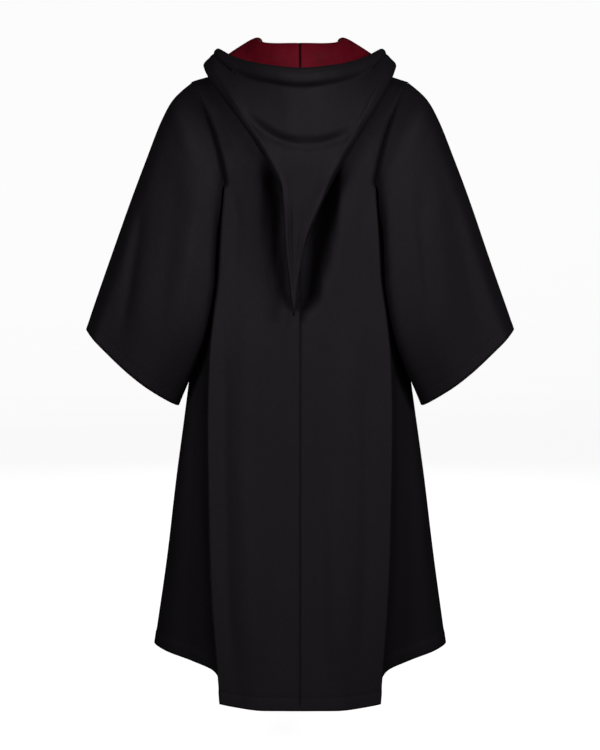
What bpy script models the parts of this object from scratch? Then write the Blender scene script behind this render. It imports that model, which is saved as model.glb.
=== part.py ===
"""A long hooded wizard robe, worn: filled out, open at the neck, cuffs and hem.

Metres. The wearer faces -Y with +Z up, so the wearer's left is +X and the back is +Y.
The origin is where the wearer's shoulders carry the robe: midway between the two points
where the shoulder seams meet the neckline.

Every piece of cloth is a sheet: a grid whose points are placed by a function of its
column and row, and which then gets the thickness of the cloth.
"""

import math
from collections import namedtuple

import bmesh
import bpy
import numpy as np

# ---------------------------------------------------------------- cloth
CLOTH = 0.0020              # the black robe cloth
LINING = 0.0012             # the dark red hood lining
SEAM = 0.0005               # half the gap where two pieces meet edge to edge
SHOULDER_SEAM = 0.0007      # the same where the cloth also turns over the shoulder
CORNER = 0.0012             # each piece's stand-off where two pieces meet at a corner
SLEEVE_SEAM = 0.0014        # the sleeve's stand-off from the armhole at the shoulder
WRAP = 0.0036               # the same under the arm, where it hangs back down the side
COLLAR = 0.0018             # how far the hood's edge stands above the neckline
LINING_OFFSET = 0.0022      # from the middle of the hood's wall to the middle of its lining
LINING_LOOSE = 0.0055       # the same inside the bag, where the lining hangs free
FRONT_OPENING = 0.0015      # each front edge's distance from the middle

# ---------------------------------------------------------------- neck and shoulders
NECK_HALF_WIDTH = 0.085
NECK_BACK = 0.062
NECK_BACK_DROP = 0.004
NECK_FRONT = 0.095
NECK_FRONT_DROP = 0.085
SHOULDER_TIP = np.array([0.2196, 0.0, -0.057])
SHOULDER_SAG = 0.005        # how far the shoulder line dips between neck and tip
NECK_FALL = 1.3             # above 1, the front neckline stays high near the shoulder

# the direction and the pull with which the cloth leaves the underarm and reaches its top
BACK_LEAVING = np.array([0.0, 0.015, 0.24])
BACK_LEAVING_SPREAD = 0.02
FRONT_LEAVING_Y = -0.02
AT_BACK_NECK = np.array([0.0, -0.08, 0.17])
BACK_AT_NECK_POINT = np.array([0.0, -0.17, 0.03])
BACK_AT_SHOULDER_TIP = np.array([0.05, -0.13, 0.02])
AT_THROAT = np.array([0.0, 0.03, 0.14])
FRONT_AT_NECK_POINT = np.array([0.0, 0.20, 0.04])
FRONT_AT_SHOULDER_TIP = np.array([0.05, 0.13, 0.02])

# ---------------------------------------------------------------- the body's cross-sections
# share: 0 at the underarm, 1 at the hem. The ridge is the pressed edge of the flat back,
# the valley lies in front of it, and the side is the outermost point of the flare.
Section = namedtuple(
    "Section",
    "share centre_y ridge_x ridge_y valley_x valley_y side_x side_y front_x front_y edge_y")
SECTIONS = (
    Section(0.00, 0.108, 0.150, 0.092, 0.157, 0.050, 0.165, 0.000, 0.156, -0.070, -0.118),
    Section(0.10, 0.111, 0.157, 0.099, 0.163, 0.050, 0.178, 0.000, 0.166, -0.085, -0.125),
    Section(0.20, 0.116, 0.163, 0.106, 0.173, 0.052, 0.196, 0.000, 0.174, -0.097, -0.132),
    Section(0.28, 0.124, 0.176, 0.114, 0.185, 0.054, 0.210, -0.003, 0.181, -0.108, -0.139),
    Section(0.41, 0.138, 0.1838, 0.125, 0.193, 0.057, 0.228, -0.008, 0.190, -0.125, -0.153),
    Section(0.62, 0.161, 0.1820, 0.147, 0.193, 0.062, 0.256, -0.012, 0.205, -0.147, -0.175),
    Section(0.80, 0.181, 0.1755, 0.168, 0.188, 0.069, 0.277, -0.017, 0.216, -0.163, -0.191),
    Section(1.00, 0.205, 0.1600, 0.186, 0.1768, 0.078, 0.3038, -0.020, 0.225, -0.178, -0.207),
)

# the height of each of those lines at the underarm and at the hem
Levels = namedtuple("Levels", "centre ridge valley side front edge")
UNDERARM_Z = Levels(-0.265, -0.265, -0.280, -0.286, -0.250, -0.250)
HEM_Z = Levels(-1.304, -1.296, -1.257, -1.224, -1.240, -1.250)

# soft upright folds: where the crest is, how wide and how proud it is at the hem
Fold = namedtuple("Fold", "column width height")
BACK_FOLDS = (Fold(4.2, 1.6, 0.006),)
FRONT_FOLDS = (
    Fold(4.6, 1.0, 0.008),
    Fold(8.0, 1.1, 0.012),
    Fold(12.0, 1.3, 0.018),
    Fold(16.4, 1.4, 0.015),
)
SIDEWAYS = np.array([1.0, 0.0, 0.0])         # the way the folds stand out at the side
FORWARD = np.array([0.35, -0.94, 0.0])       # and in front

# the hollow in the back on both sides of the hood's tail
HOLLOW_HALF_WIDTH = 0.080
HOLLOW_DEPTH = 0.034
HOLLOW_TOP_Z = -0.14
HOLLOW_FULL_Z = -0.24
HOLLOW_TAPER_Z = -0.37
HOLLOW_POINT_Z = -0.54
HOLLOW_FLATNESS = 1.3       # above 1, the hollow's edges run out more gently

# ---------------------------------------------------------------- the body's grids
BACK_COLUMNS = 8
BACK_NECK_COLUMNS = 4
UPPER_ROWS = 6
SKIRT_ROWS = 16
RIDGE, VALLEY, SIDE, FRONT, NECK, EDGE = 0, 3, 6, 9, 13, 19

# ---------------------------------------------------------------- the sleeve's rings
# outer: the upper fold of the sleeve. inner: its underarm seam. depth: half its thickness.
# slant: how much the inner end follows the body's side. bow: how far its middle hangs down.
Ring = namedtuple("Ring", "outer_x outer_z inner_x inner_y inner_z depth slant bow")
RINGS = (
    Ring(0.2520, -0.085, 0.1680, 0.045, -0.318, 0.076, 0.35, 0.000),
    Ring(0.2810, -0.133, 0.1730, 0.060, -0.362, 0.072, 0.30, 0.000),
    Ring(0.3135, -0.213, 0.1740, 0.070, -0.425, 0.066, 0.25, 0.000),
    Ring(0.3450, -0.295, 0.1770, 0.078, -0.487, 0.062, 0.20, 0.002),
    Ring(0.3890, -0.417, 0.1970, 0.075, -0.586, 0.058, 0.10, 0.005),
    Ring(0.4395, -0.558, 0.2490, 0.035, -0.711, 0.056, 0.00, 0.011),
)
SLEEVE_SQUARE = 0.75        # below 1, the sleeve's two edges are squarer than a circle's
SLEEVE_FLATNESS = 0.85
# soft folds down the sleeve: where round it they are, from the outer fold by the back
SleeveFold = namedtuple("SleeveFold", "at width height")
SLEEVE_FOLDS = (
    SleeveFold(0.12, 0.04, 0.007),
    SleeveFold(0.27, 0.05, 0.006),
    SleeveFold(0.72, 0.05, -0.008),
    SleeveFold(0.88, 0.04, -0.006),
)
SLEEVE_ROWS = 12
SLEEVE_HEAD = 0.16          # share of the sleeve's rows from the armhole to the first ring

# ---------------------------------------------------------------- the hood
# at: 0 at the centre back, 1 at the throat. rise: how high the cloth stands above the
# neckline before it turns over. fold: the outline of the bag. rim: the face opening.
# tilt: which way the outer wall faces, 0 straight back, 90 up. depth: wall to wall.
HoodLine = namedtuple(
    "HoodLine",
    "at roll_out rise fold_x fold_y fold_z lean rim_x rim_y rim_z tilt depth")
HOOD_LINES = (
    HoodLine(0.00, 0.028, 0.015, 0.000, 0.160, -0.522, 0.012, 0.000, 0.166, -0.040, 4, 0.012),
    HoodLine(0.07, 0.027, 0.015, 0.009, 0.160, -0.450, 0.012, 0.020, 0.165, -0.039, 4, 0.014),
    HoodLine(0.14, 0.026, 0.015, 0.018, 0.160, -0.385, 0.010, 0.038, 0.160, -0.037, 5, 0.017),
    HoodLine(0.21, 0.025, 0.016, 0.031, 0.159, -0.328, 0.000, 0.055, 0.151, -0.034, 7, 0.021),
    HoodLine(0.30, 0.022, 0.019, 0.050, 0.156, -0.266, -0.010, 0.078, 0.136, -0.030, 10, 0.026),
    HoodLine(0.40, 0.016, 0.025, 0.093, 0.147, -0.190, -0.010, 0.106, 0.108, -0.022, 16, 0.030),
    HoodLine(0.50, 0.005, 0.029, 0.145, 0.124, -0.110, -0.008, 0.136, 0.066, -0.010, 32, 0.032),
    HoodLine(0.60, 0.001, 0.029, 0.194, 0.040, -0.026, 0.000, 0.168, 0.012, 0.010, 70, 0.026),
    HoodLine(0.72, 0.010, 0.027, 0.173, -0.055, -0.038, 0.000, 0.146, -0.062, -0.008, 105, 0.024),
    HoodLine(0.86, 0.016, 0.018, 0.112, -0.134, -0.092, 0.000, 0.096, -0.122, -0.052, 135, 0.024),
    HoodLine(1.00, 0.012, 0.008, 0.030, -0.146, -0.118, 0.000, 0.010, -0.135, -0.085, 150, 0.018),
)
NECK_SIDE_AT = 0.60         # where along the hood the shoulder seams lie
HOOD_COLUMNS = 28
ROLL_ROWS, NECK_WALL_ROWS, FOLD_ROWS, OUTER_ROWS, BAND_ROWS = 3, 8, 2, 7, 3
HOOD_ROWS = ROLL_ROWS + NECK_WALL_ROWS + FOLD_ROWS + OUTER_ROWS + BAND_ROWS
NECK_RISE_PULL = 1.6        # above 1, the cloth stands straighter up out of the neck seam
ROLL_PULL = 0.039           # how roundly the cloth turns over, seen from the neck
WALL_PULL = 0.080           # and seen from the wall
NECK_WALL_SPREAD = 1.25     # above 1, the wall's rows are closer together near the neck
BAND_HEIGHT = 0.036         # the turned band that hangs below the rim
BAND_SHARE = 0.45           # the most of the outer wall that the band may take
BAND_SHARES = (0.0, 0.2, 0.6, 1.0)
BAND_PROUD = (0.0, 0.008, 0.009, 0.003)
OUTER_BOW = 0.006           # how far a long outer wall bows out
OUTER_FULL_LENGTH = 0.20
OUTER_SPREAD = 1.6          # above 1, a long outer wall's rows are closer near the rim

FOLD_ROW = ROLL_ROWS + NECK_WALL_ROWS + 1
LEAN_FULL, LEAN_NONE = 0.45, 0.65
LINING_BOTTOM_Z = -0.27
LINING_KEPT_ROWS = ROLL_ROWS + 2     # rows that follow the hood's own rows over the roll
LINING_SAG = 0.012
LINING_SETBACK = 0.25       # share of the last row by which each of its edges stays back
RIM_LOOSE = 0.4             # share of the bag's looseness that is left at the rim
LINING_EASE_ROWS = 4        # rows over which it tightens towards the rim
LINING_MITRE = 0.4          # the sharpest turn over which the lining keeps its offset

MERGE = 0.00001

BLACK = ((0.012, 0.011, 0.013), 0.62)
RED = ((0.10, 0.006, 0.012), 0.42)


# ---------------------------------------------------------------- curves and tables
def mix(start, end, share):
    """The point or number a share of the way from start to end."""
    return start + (end - start) * share


def smooth(share):
    """An even share turned into one that starts and ends gently."""
    share = min(max(share, 0.0), 1.0)
    return share * share * (3.0 - 2.0 * share)


def through(knots, values, at):
    """A smooth curve through values at the given knots, without overshooting between."""
    knots = np.asarray(knots, dtype=float)
    values = np.asarray(values, dtype=float)
    slopes = np.diff(values, axis=0) / np.diff(knots).reshape(-1, *([1] * (values.ndim - 1)))
    tangents = np.concatenate([slopes[:1], (slopes[:-1] + slopes[1:]) / 2.0, slopes[-1:]])
    index = int(np.clip(np.searchsorted(knots, at) - 1, 0, len(knots) - 2))
    width = knots[index + 1] - knots[index]
    t = (at - knots[index]) / width
    return hermite(values[index], values[index + 1],
                   tangents[index] * width, tangents[index + 1] * width, t)


def hermite(start, end, leaving, arriving, t):
    """A cubic from start to end with the given tangents at its ends."""
    return ((2 * t ** 3 - 3 * t ** 2 + 1) * start + (t ** 3 - 2 * t ** 2 + t) * leaving
            + (3 * t ** 2 - 2 * t ** 3) * end + (t ** 3 - t ** 2) * arriving)


def row_at(table, knots, at):
    """A table's row, read smoothly between its rows."""
    return type(table[0])(*through(knots, table, at))


def unit(vector):
    """The vector at length 1."""
    return vector / np.linalg.norm(vector)


# ---------------------------------------------------------------- the body's surface
def hollow(x, z):
    """How far the back sinks in beside the hood's tail."""
    if z < HOLLOW_TAPER_Z:
        half_width = HOLLOW_HALF_WIDTH * (z - HOLLOW_POINT_Z) / (HOLLOW_TAPER_Z - HOLLOW_POINT_Z)
    else:
        half_width = HOLLOW_HALF_WIDTH
    if half_width <= abs(x):
        return 0.0
    entry = smooth((HOLLOW_TOP_Z - z) / (HOLLOW_TOP_Z - HOLLOW_FULL_Z))
    depth = HOLLOW_DEPTH * entry * half_width / HOLLOW_HALF_WIDTH
    return depth * math.cos(math.pi / 2 * abs(x) / half_width) ** HOLLOW_FLATNESS


def folds_at(folds, column):
    """How far the folds push the cloth out at a column, at the hem."""
    return sum(fold.height * math.exp(-((column - fold.column) / fold.width) ** 2)
               for fold in folds)


def section_at(share):
    """The body's cross-section at a share of the way from the underarm to the hem."""
    return row_at(SECTIONS, [section.share for section in SECTIONS], share)


def levels_at(share):
    """The body's heights at a share of the way from the underarm to the hem."""
    return Levels(*(mix(top, hem, share) for top, hem in zip(UNDERARM_Z, HEM_Z)))


def back_lower(column, share):
    """A point of the back below the underarm; column counts from the centre."""
    section = section_at(share)
    across = column / BACK_COLUMNS
    bow = 1.0 - across ** 2
    x = section.ridge_x * across
    y = mix(section.ridge_y, section.centre_y, bow) + share * folds_at(BACK_FOLDS, column)
    levels = levels_at(share)
    z = mix(levels.centre, levels.ridge, across ** 3)
    return np.array([x, y, z])


def front_lower(column, share):
    """A point of the front below the underarm; column counts from the ridge."""
    section = section_at(share)
    levels = levels_at(share)
    knots = (RIDGE, VALLEY, SIDE, FRONT, EDGE)
    points = (
        (section.ridge_x, section.ridge_y, levels.ridge),
        (section.valley_x, section.valley_y, levels.valley),
        (section.side_x, section.side_y, levels.side),
        (section.front_x, section.front_y, levels.front),
        (FRONT_OPENING, section.edge_y, levels.edge),
    )
    turned = smooth((column - VALLEY) / (FRONT - VALLEY))
    outward = unit(mix(SIDEWAYS, FORWARD, turned))
    return through(knots, points, column) + outward * share * folds_at(FRONT_FOLDS, column)


def neckline_back(share):
    """The back neckline from the centre back to the shoulder seam."""
    angle = share * math.pi / 2
    return np.array([NECK_HALF_WIDTH * math.sin(angle), NECK_BACK * math.cos(angle),
                     -NECK_BACK_DROP * math.cos(angle)])


def neckline_front(share):
    """The front neckline from the shoulder seam to the throat."""
    angle = share * math.pi / 2
    return np.array([FRONT_OPENING + (NECK_HALF_WIDTH - FRONT_OPENING) * math.cos(angle),
                     -NECK_FRONT * math.sin(angle), -NECK_FRONT_DROP * share ** NECK_FALL])


NECK_POINT = neckline_front(0.0)


def shoulder(share):
    """The shoulder seam from the neck point to the shoulder's tip."""
    dip = np.array([0.0, 0.0, -SHOULDER_SAG * math.sin(math.pi * share)])
    return mix(NECK_POINT, SHOULDER_TIP, share) + dip


def back_top(column):
    """The back's upper border and the direction in which the cloth arrives there."""
    if column <= BACK_NECK_COLUMNS:
        share = column / BACK_NECK_COLUMNS
        return neckline_back(share), mix(AT_BACK_NECK, BACK_AT_NECK_POINT, share)
    share = (column - BACK_NECK_COLUMNS) / (BACK_COLUMNS - BACK_NECK_COLUMNS)
    return shoulder(share), mix(BACK_AT_NECK_POINT, BACK_AT_SHOULDER_TIP, share)


def front_top(column):
    """The front's upper border and the direction in which the cloth arrives there."""
    if column >= NECK:
        share = (column - NECK) / (EDGE - NECK)
        return neckline_front(share), mix(FRONT_AT_NECK_POINT, AT_THROAT, smooth(share))
    share = (NECK - column) / (NECK - FRONT)
    return shoulder(share), mix(FRONT_AT_NECK_POINT, FRONT_AT_SHOULDER_TIP, share)


def back_upper(column, share):
    """A point of the back between the underarm (0) and the neck or shoulder (1)."""
    bottom = back_lower(column, 0.0)
    top, arriving = back_top(column)
    leaving = BACK_LEAVING + SIDEWAYS * BACK_LEAVING_SPREAD * column / BACK_COLUMNS
    return hermite(bottom, top, leaving, arriving, share)


def front_upper(column, share):
    """A point of the front between the underarm (0) and the neck or shoulder (1)."""
    bottom = front_lower(column, 0.0)
    top, arriving = front_top(column)
    reach = float(np.linalg.norm(top - bottom))
    return hermite(bottom, top, np.array([0.0, FRONT_LEAVING_Y, reach]), arriving, share)


# ---------------------------------------------------------------- the body's panels
def back_point(column, row):
    """A grid point of a back panel; row 0 is the hem."""
    if row <= SKIRT_ROWS:
        point = back_lower(column, 1.0 - row / SKIRT_ROWS)
    else:
        point = back_upper(column, (row - SKIRT_ROWS) / UPPER_ROWS)
    point[1] -= hollow(point[0], point[2])
    return point


def back_panel_point(column, row):
    """A back panel's point, held clear of its neighbours at the seams."""
    point = back_point(column, row)
    if column == 0:
        point[0] += SEAM
    if column == BACK_COLUMNS and row <= SKIRT_ROWS:
        point[0] -= CORNER
    if row == SKIRT_ROWS + UPPER_ROWS and column >= BACK_NECK_COLUMNS:
        point[1] += SHOULDER_SEAM
    return point


def front_point(column, row):
    """A grid point of a front panel; row 0 is the hem."""
    if row <= SKIRT_ROWS:
        return front_lower(column, 1.0 - row / SKIRT_ROWS)
    return front_upper(column, (row - SKIRT_ROWS) / UPPER_ROWS)


def front_panel_point(column, row):
    """A front panel's point, held clear of its neighbours at the seams."""
    point = front_point(column, row)
    if column == RIDGE:
        point[1] -= CORNER
    if row == SKIRT_ROWS + UPPER_ROWS and column <= NECK:
        point[1] -= SHOULDER_SEAM
    return point


def front_has(column, row):
    """The front panel's grid, cut away where the armhole is."""
    return row <= SKIRT_ROWS or column >= FRONT


# ---------------------------------------------------------------- the sleeve
def armhole():
    """The armhole's seam line, from the shoulder down the back and up the front."""
    top = SKIRT_ROWS + UPPER_ROWS
    back = [back_point(BACK_COLUMNS, row) for row in range(top, SKIRT_ROWS, -1)]
    under = [front_point(column, SKIRT_ROWS) for column in range(RIDGE, FRONT)]
    front = [front_point(FRONT, row) for row in range(SKIRT_ROWS, top)]
    return back + under + front


ARMHOLE = armhole()
SLEEVE_COLUMNS = len(ARMHOLE)


def armhole_shares():
    """Each armhole point's share of the way round, by length."""
    steps = [np.linalg.norm(ARMHOLE[(i + 1) % SLEEVE_COLUMNS] - ARMHOLE[i])
             for i in range(SLEEVE_COLUMNS)]
    return np.concatenate([[0.0], np.cumsum(steps)[:-1]]) / sum(steps)


ARMHOLE_SHARES = armhole_shares()


def squared(value, power):
    """A sine or cosine made squarer or rounder, with its sign kept."""
    return math.copysign(abs(value) ** power, value)


def ring_point(ring, share):
    """A point of one sleeve ring, a flattened loop from the outer fold to the inner."""
    angle = share * 2 * math.pi
    inward = (1.0 - squared(math.cos(angle), SLEEVE_SQUARE)) / 2
    outer = np.array([ring.outer_x, 0.0, ring.outer_z])
    inner = np.array([ring.inner_x, ring.inner_y, ring.inner_z])
    bulge = ring.depth * squared(math.sin(angle), SLEEVE_FLATNESS)
    hanging = ring.bow * math.sin(math.pi * inward)
    return mix(outer, inner, inward) + np.array([-ring.slant * inward * bulge, bulge, -hanging])


def sleeve_point(column, row):
    """A grid point of the sleeve; row 0 is the armhole, the last row the cuff."""
    index = int(column) % SLEEVE_COLUMNS
    share = ARMHOLE_SHARES[index]
    lines = [ring_point(ring, share) for ring in RINGS]
    under = (1.0 - math.cos(share * 2 * math.pi)) / 2
    seam = ARMHOLE[index]
    outward = unit(mix(unit(lines[0] - seam), SIDEWAYS, under ** 2))
    start = seam + outward * mix(SLEEVE_SEAM, WRAP, under)
    knots = [0.0] + list(np.linspace(SLEEVE_HEAD, 1.0, len(RINGS)))
    down = row / SLEEVE_ROWS
    fold = sum(fold.height * math.exp(-((share - fold.at) / fold.width) ** 2)
               for fold in SLEEVE_FOLDS)
    return through(knots, [start] + lines, down) + np.array([0.0, fold * smooth(down), 0.0])


# ---------------------------------------------------------------- the hood
HOOD_KNOTS = [line.at for line in HOOD_LINES]


def neckline(at):
    """The body's neckline, straight between the panels' points, centre back to throat."""
    if at <= NECK_SIDE_AT:
        place = at / NECK_SIDE_AT * BACK_NECK_COLUMNS
        border = [neckline_back(i / BACK_NECK_COLUMNS) for i in range(BACK_NECK_COLUMNS + 1)]
    else:
        count = EDGE - NECK
        place = (at - NECK_SIDE_AT) / (1.0 - NECK_SIDE_AT) * count
        border = [neckline_front(i / count) for i in range(count + 1)]
    index = min(int(place), len(border) - 2)
    return mix(border[index], border[index + 1], place - index)


def hood_keys(at):
    """The points that the hood's cloth passes through on one line from neck to rim."""
    line = row_at(HOOD_LINES, HOOD_KNOTS, at)
    tilt = math.radians(line.tilt)
    facing = np.array([0.0, math.cos(tilt), math.sin(tilt)])
    neck = neckline(at) + np.array([0.0, 0.0, COLLAR])
    away = unit(np.array([neck[0], neck[1], 0.0]))
    roll = neck + away * line.roll_out + np.array([0.0, 0.0, line.rise])
    fold = np.array([line.fold_x, line.fold_y, line.fold_z])
    rim = np.array([line.rim_x, line.rim_y, line.rim_z])
    inward = (rim + roll) / 2 - fold
    inward = unit(inward - facing * np.dot(inward, facing))
    half = facing * line.depth / 2
    turn = fold + inward * line.depth / 2
    return neck, roll, turn - half, fold, turn + half, rim, facing


def hood_line(at):
    """All the grid's points on one line of the hood, from the neck seam to the rim."""
    neck, roll, low, fold, high, rim, facing = hood_keys(at)
    length = float(np.linalg.norm(rim - high))
    upward = np.array([0.0, 0.0, 1.0]) * (roll[2] - neck[2])
    away = unit(np.array([roll[0], roll[1], 0.0]))
    span = float(np.linalg.norm(low - roll))
    points = [hermite(neck, roll, upward * NECK_RISE_PULL, away * ROLL_PULL, i / ROLL_ROWS)
              for i in range(ROLL_ROWS)]
    points += [hermite(roll, low, away * min(WALL_PULL, span), low - roll,
                       (i / NECK_WALL_ROWS) ** NECK_WALL_SPREAD) for i in range(NECK_WALL_ROWS)]
    points += [low, fold]
    band = min(BAND_HEIGHT, BAND_SHARE * length)
    crease = mix(rim, high, band / length)
    fullness = min(1.0, length / OUTER_FULL_LENGTH)
    spread = mix(1.0, OUTER_SPREAD, fullness)
    for i in range(OUTER_ROWS):
        share = 1.0 - (1.0 - i / OUTER_ROWS) ** spread
        bow = facing * OUTER_BOW * fullness * math.sin(math.pi * share)
        points.append(mix(high, crease, share) + bow)
    for share, proud in zip(BAND_SHARES, BAND_PROUD):
        points.append(mix(crease, rim, share) + facing * proud * band / BAND_HEIGHT)
    return points


def lean(at, z):
    """How far the hanging tail is pulled to one side."""
    hanging = [row for row in HOOD_LINES if row.at <= NECK_SIDE_AT]
    pull = np.interp(z, [row.fold_z for row in hanging], [row.lean for row in hanging])
    return float(pull) * smooth((LEAN_NONE - at) / (LEAN_NONE - LEAN_FULL))


def hung(line, across):
    """A line of the hood set on its own side, with the tail's lean."""
    side = math.copysign(1.0, across)
    return [np.array([point[0] * side + lean(abs(across), point[2]), point[1], point[2]])
            for point in line]


def hood_point(column, row):
    """A grid point of the hood; the middle column is the centre back."""
    across = 2.0 * column / HOOD_COLUMNS - 1.0
    return hung(hood_line(abs(across)), across)[row]


# ---------------------------------------------------------------- the hood's lining
def at_height(points, z):
    """The point at a height on a run of points that only falls or only rises."""
    run = sorted((tuple(point) for point in points), key=lambda point: point[2])
    heights = [point[2] for point in run]
    return np.array([np.interp(z, heights, [point[axis] for point in run])
                     for axis in range(3)])


def lining_line(at):
    """The hood's line from neck to rim, with the bag no deeper than its lining."""
    line = hood_line(at)
    line[-1] = mix(line[-1], line[-2], LINING_SETBACK)
    if line[FOLD_ROW][2] >= LINING_BOTTOM_Z:
        return line
    first, last = LINING_KEPT_ROWS, FOLD_ROW - 1
    crease = FOLD_ROW + 1 + OUTER_ROWS
    for top, bottom in ((first, last), (crease, FOLD_ROW + 1)):
        low, high = min(top, bottom), max(top, bottom)
        wall = line[low:high + 1]
        top_z, bottom_z = line[top][2], line[bottom][2]
        for row in range(low, high + 1):
            depth = (wall[row - low][2] - top_z) / (bottom_z - top_z)
            line[row] = at_height(wall, mix(top_z, LINING_BOTTOM_Z, depth))
    middle = (line[last] + line[FOLD_ROW + 1]) / 2
    sag = min(LINING_SAG, (middle[2] - line[FOLD_ROW][2]) / 2)
    line[FOLD_ROW] = middle - np.array([0.0, 0.0, sag])
    return line


def lining_sheet():
    """All the lining's points: the hood's own, moved to the inner face of its cloth."""
    shares = np.linspace(-1.0, 1.0, HOOD_COLUMNS + 1)
    points = np.array([hung(lining_line(abs(across)), across) for across in shares])
    steps = np.diff(points, axis=1)
    faces = np.cross(np.gradient(points, axis=0)[:, :-1], steps)
    faces /= np.linalg.norm(faces, axis=2, keepdims=True)
    before = np.concatenate([faces[:, :1], faces], axis=1)
    after = np.concatenate([faces, faces[:, -1:]], axis=1)
    facing = (before + after) / 2
    spread = np.maximum(np.sum(facing ** 2, axis=2, keepdims=True), LINING_MITRE)
    loose_rows = (LINING_KEPT_ROWS, LINING_KEPT_ROWS + 2, HOOD_ROWS - LINING_EASE_ROWS, HOOD_ROWS)
    loose = np.interp(range(HOOD_ROWS + 1), loose_rows, (0.0, 1.0, 1.0, RIM_LOOSE))
    offset = mix(LINING_OFFSET, LINING_LOOSE, loose)[None, :, None]
    lining = points + facing / spread * offset
    lining[0] = mix(lining[0], lining[1], LINING_SETBACK)
    lining[-1] = mix(lining[-1], lining[-2], LINING_SETBACK)
    return lining


LINING_POINTS = lining_sheet()


def lining_point(side):
    """The placing function of the lining's left (1) or right (-1) half."""
    middle = HOOD_COLUMNS // 2
    first = middle if side > 0 else 0

    def placed(column, row):
        point = np.array(LINING_POINTS[first + column, row])
        if first + column == middle:
            point[0] += side * SEAM
        return point
    return placed


# ---------------------------------------------------------------- making the cloth
def material(name, finish):
    """A plain material of one colour and roughness."""
    colour, roughness = finish
    made = bpy.data.materials.new(name)
    made.use_nodes = True
    shader = made.node_tree.nodes["Principled BSDF"]
    shader.inputs["Base Color"].default_value = (*colour, 1.0)
    shader.inputs["Roughness"].default_value = roughness
    shader.inputs["Metallic"].default_value = 0.0
    return made


def cloth_piece(name, grid, place, thickness, finish, has=None):
    """One sheet of cloth: a grid moved to its place and given its thickness."""
    columns, rows = grid
    sheet = bmesh.new()
    bmesh.ops.create_grid(sheet, x_segments=columns, y_segments=rows, size=0.5)
    bmesh.ops.triangulate(sheet, faces=sheet.faces, quad_method="FIXED")
    spare = []
    for vertex in sheet.verts:
        column = round((vertex.co.x + 0.5) * columns)
        row = round((vertex.co.y + 0.5) * rows)
        if has is None or has(column, row):
            vertex.co = place(column, row)
        else:
            spare.append(vertex)
    bmesh.ops.delete(sheet, geom=spare, context="VERTS")
    bmesh.ops.remove_doubles(sheet, verts=sheet.verts, dist=MERGE)
    mesh = bpy.data.meshes.new(name)
    sheet.to_mesh(mesh)
    sheet.free()
    mesh.shade_smooth()
    mesh.materials.append(material(name, finish))
    piece = bpy.data.objects.new(name, mesh)
    robe.objects.link(piece)
    wall = piece.modifiers.new("Cloth", "SOLIDIFY")
    wall.thickness = thickness
    wall.offset = 0.0
    wall.use_even_offset = True
    return piece


def mirrored(place, side):
    """The same piece for the wearer's left (1) or right (-1)."""
    def placed(column, row):
        point = place(column, row)
        return np.array([point[0] * side, point[1], point[2]])
    return placed


# ---------------------------------------------------------------- the robe
for old in list(bpy.data.objects):
    bpy.data.objects.remove(old, do_unlink=True)
robe = bpy.data.collections.new("wizard_robe")
bpy.context.scene.collection.children.link(robe)

BODY_ROWS = SKIRT_ROWS + UPPER_ROWS
for side_name, side in (("left", 1), ("right", -1)):
    cloth_piece("back_" + side_name, (BACK_COLUMNS, BODY_ROWS),
                mirrored(back_panel_point, side), CLOTH, BLACK)
    cloth_piece("front_" + side_name, (EDGE, BODY_ROWS),
                mirrored(front_panel_point, side), CLOTH, BLACK, front_has)
    cloth_piece("sleeve_" + side_name, (SLEEVE_COLUMNS, SLEEVE_ROWS),
                mirrored(sleeve_point, side), CLOTH, BLACK)

cloth_piece("hood", (HOOD_COLUMNS, HOOD_ROWS), hood_point, CLOTH, BLACK)
for side_name, side in (("left", 1), ("right", -1)):
    cloth_piece("hood_lining_" + side_name, (HOOD_COLUMNS // 2, HOOD_ROWS),
                lining_point(side), LINING, RED)
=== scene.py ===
import logging
import math
from collections.abc import Sequence
from dataclasses import dataclass, replace
from enum import Enum
from typing import NamedTuple

import bmesh
import bpy
import numpy as np
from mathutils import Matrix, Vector


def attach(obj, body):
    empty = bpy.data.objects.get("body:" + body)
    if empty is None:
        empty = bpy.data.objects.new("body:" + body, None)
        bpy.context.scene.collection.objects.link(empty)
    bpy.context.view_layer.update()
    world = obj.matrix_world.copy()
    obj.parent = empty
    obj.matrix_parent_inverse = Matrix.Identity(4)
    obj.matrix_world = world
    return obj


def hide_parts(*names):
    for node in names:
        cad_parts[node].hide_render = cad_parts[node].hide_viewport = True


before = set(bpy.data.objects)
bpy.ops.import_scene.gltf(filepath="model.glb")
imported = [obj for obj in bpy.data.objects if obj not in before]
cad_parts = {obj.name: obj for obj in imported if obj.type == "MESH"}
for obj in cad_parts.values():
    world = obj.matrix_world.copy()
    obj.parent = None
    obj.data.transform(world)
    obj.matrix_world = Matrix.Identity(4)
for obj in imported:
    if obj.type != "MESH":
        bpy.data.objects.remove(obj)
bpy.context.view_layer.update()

Number = float | np.ndarray
Triple = tuple[float, float, float]
Socket = bpy.types.NodeSocket
log = logging.getLogger("wizard_robe")

TINY = 1e-12             # keeps a vector of no length from dividing by zero
SHORTEST_STEP = 1e-6     # metres between two control points at the least
STEPS_WITHIN = 90        # the percentage of the steps across that a spacing has to hold for


# ---------------------------------------------------------------- curves
def mix(start: Number, end: Number, share: Number) -> Number:
    """Returns the point or number a share of the way from start to end."""
    return start + (end - start) * share


def smooth(share: Number) -> Number:
    """Returns an even share turned into one that starts and ends gently."""
    share = np.clip(share, 0.0, 1.0)
    return share * share * (3.0 - 2.0 * share)


def unit(vectors: np.ndarray) -> np.ndarray:
    """Returns the vectors, along the last axis, at length 1."""
    return vectors / np.maximum(np.linalg.norm(vectors, axis=-1, keepdims=True), TINY)


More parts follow.
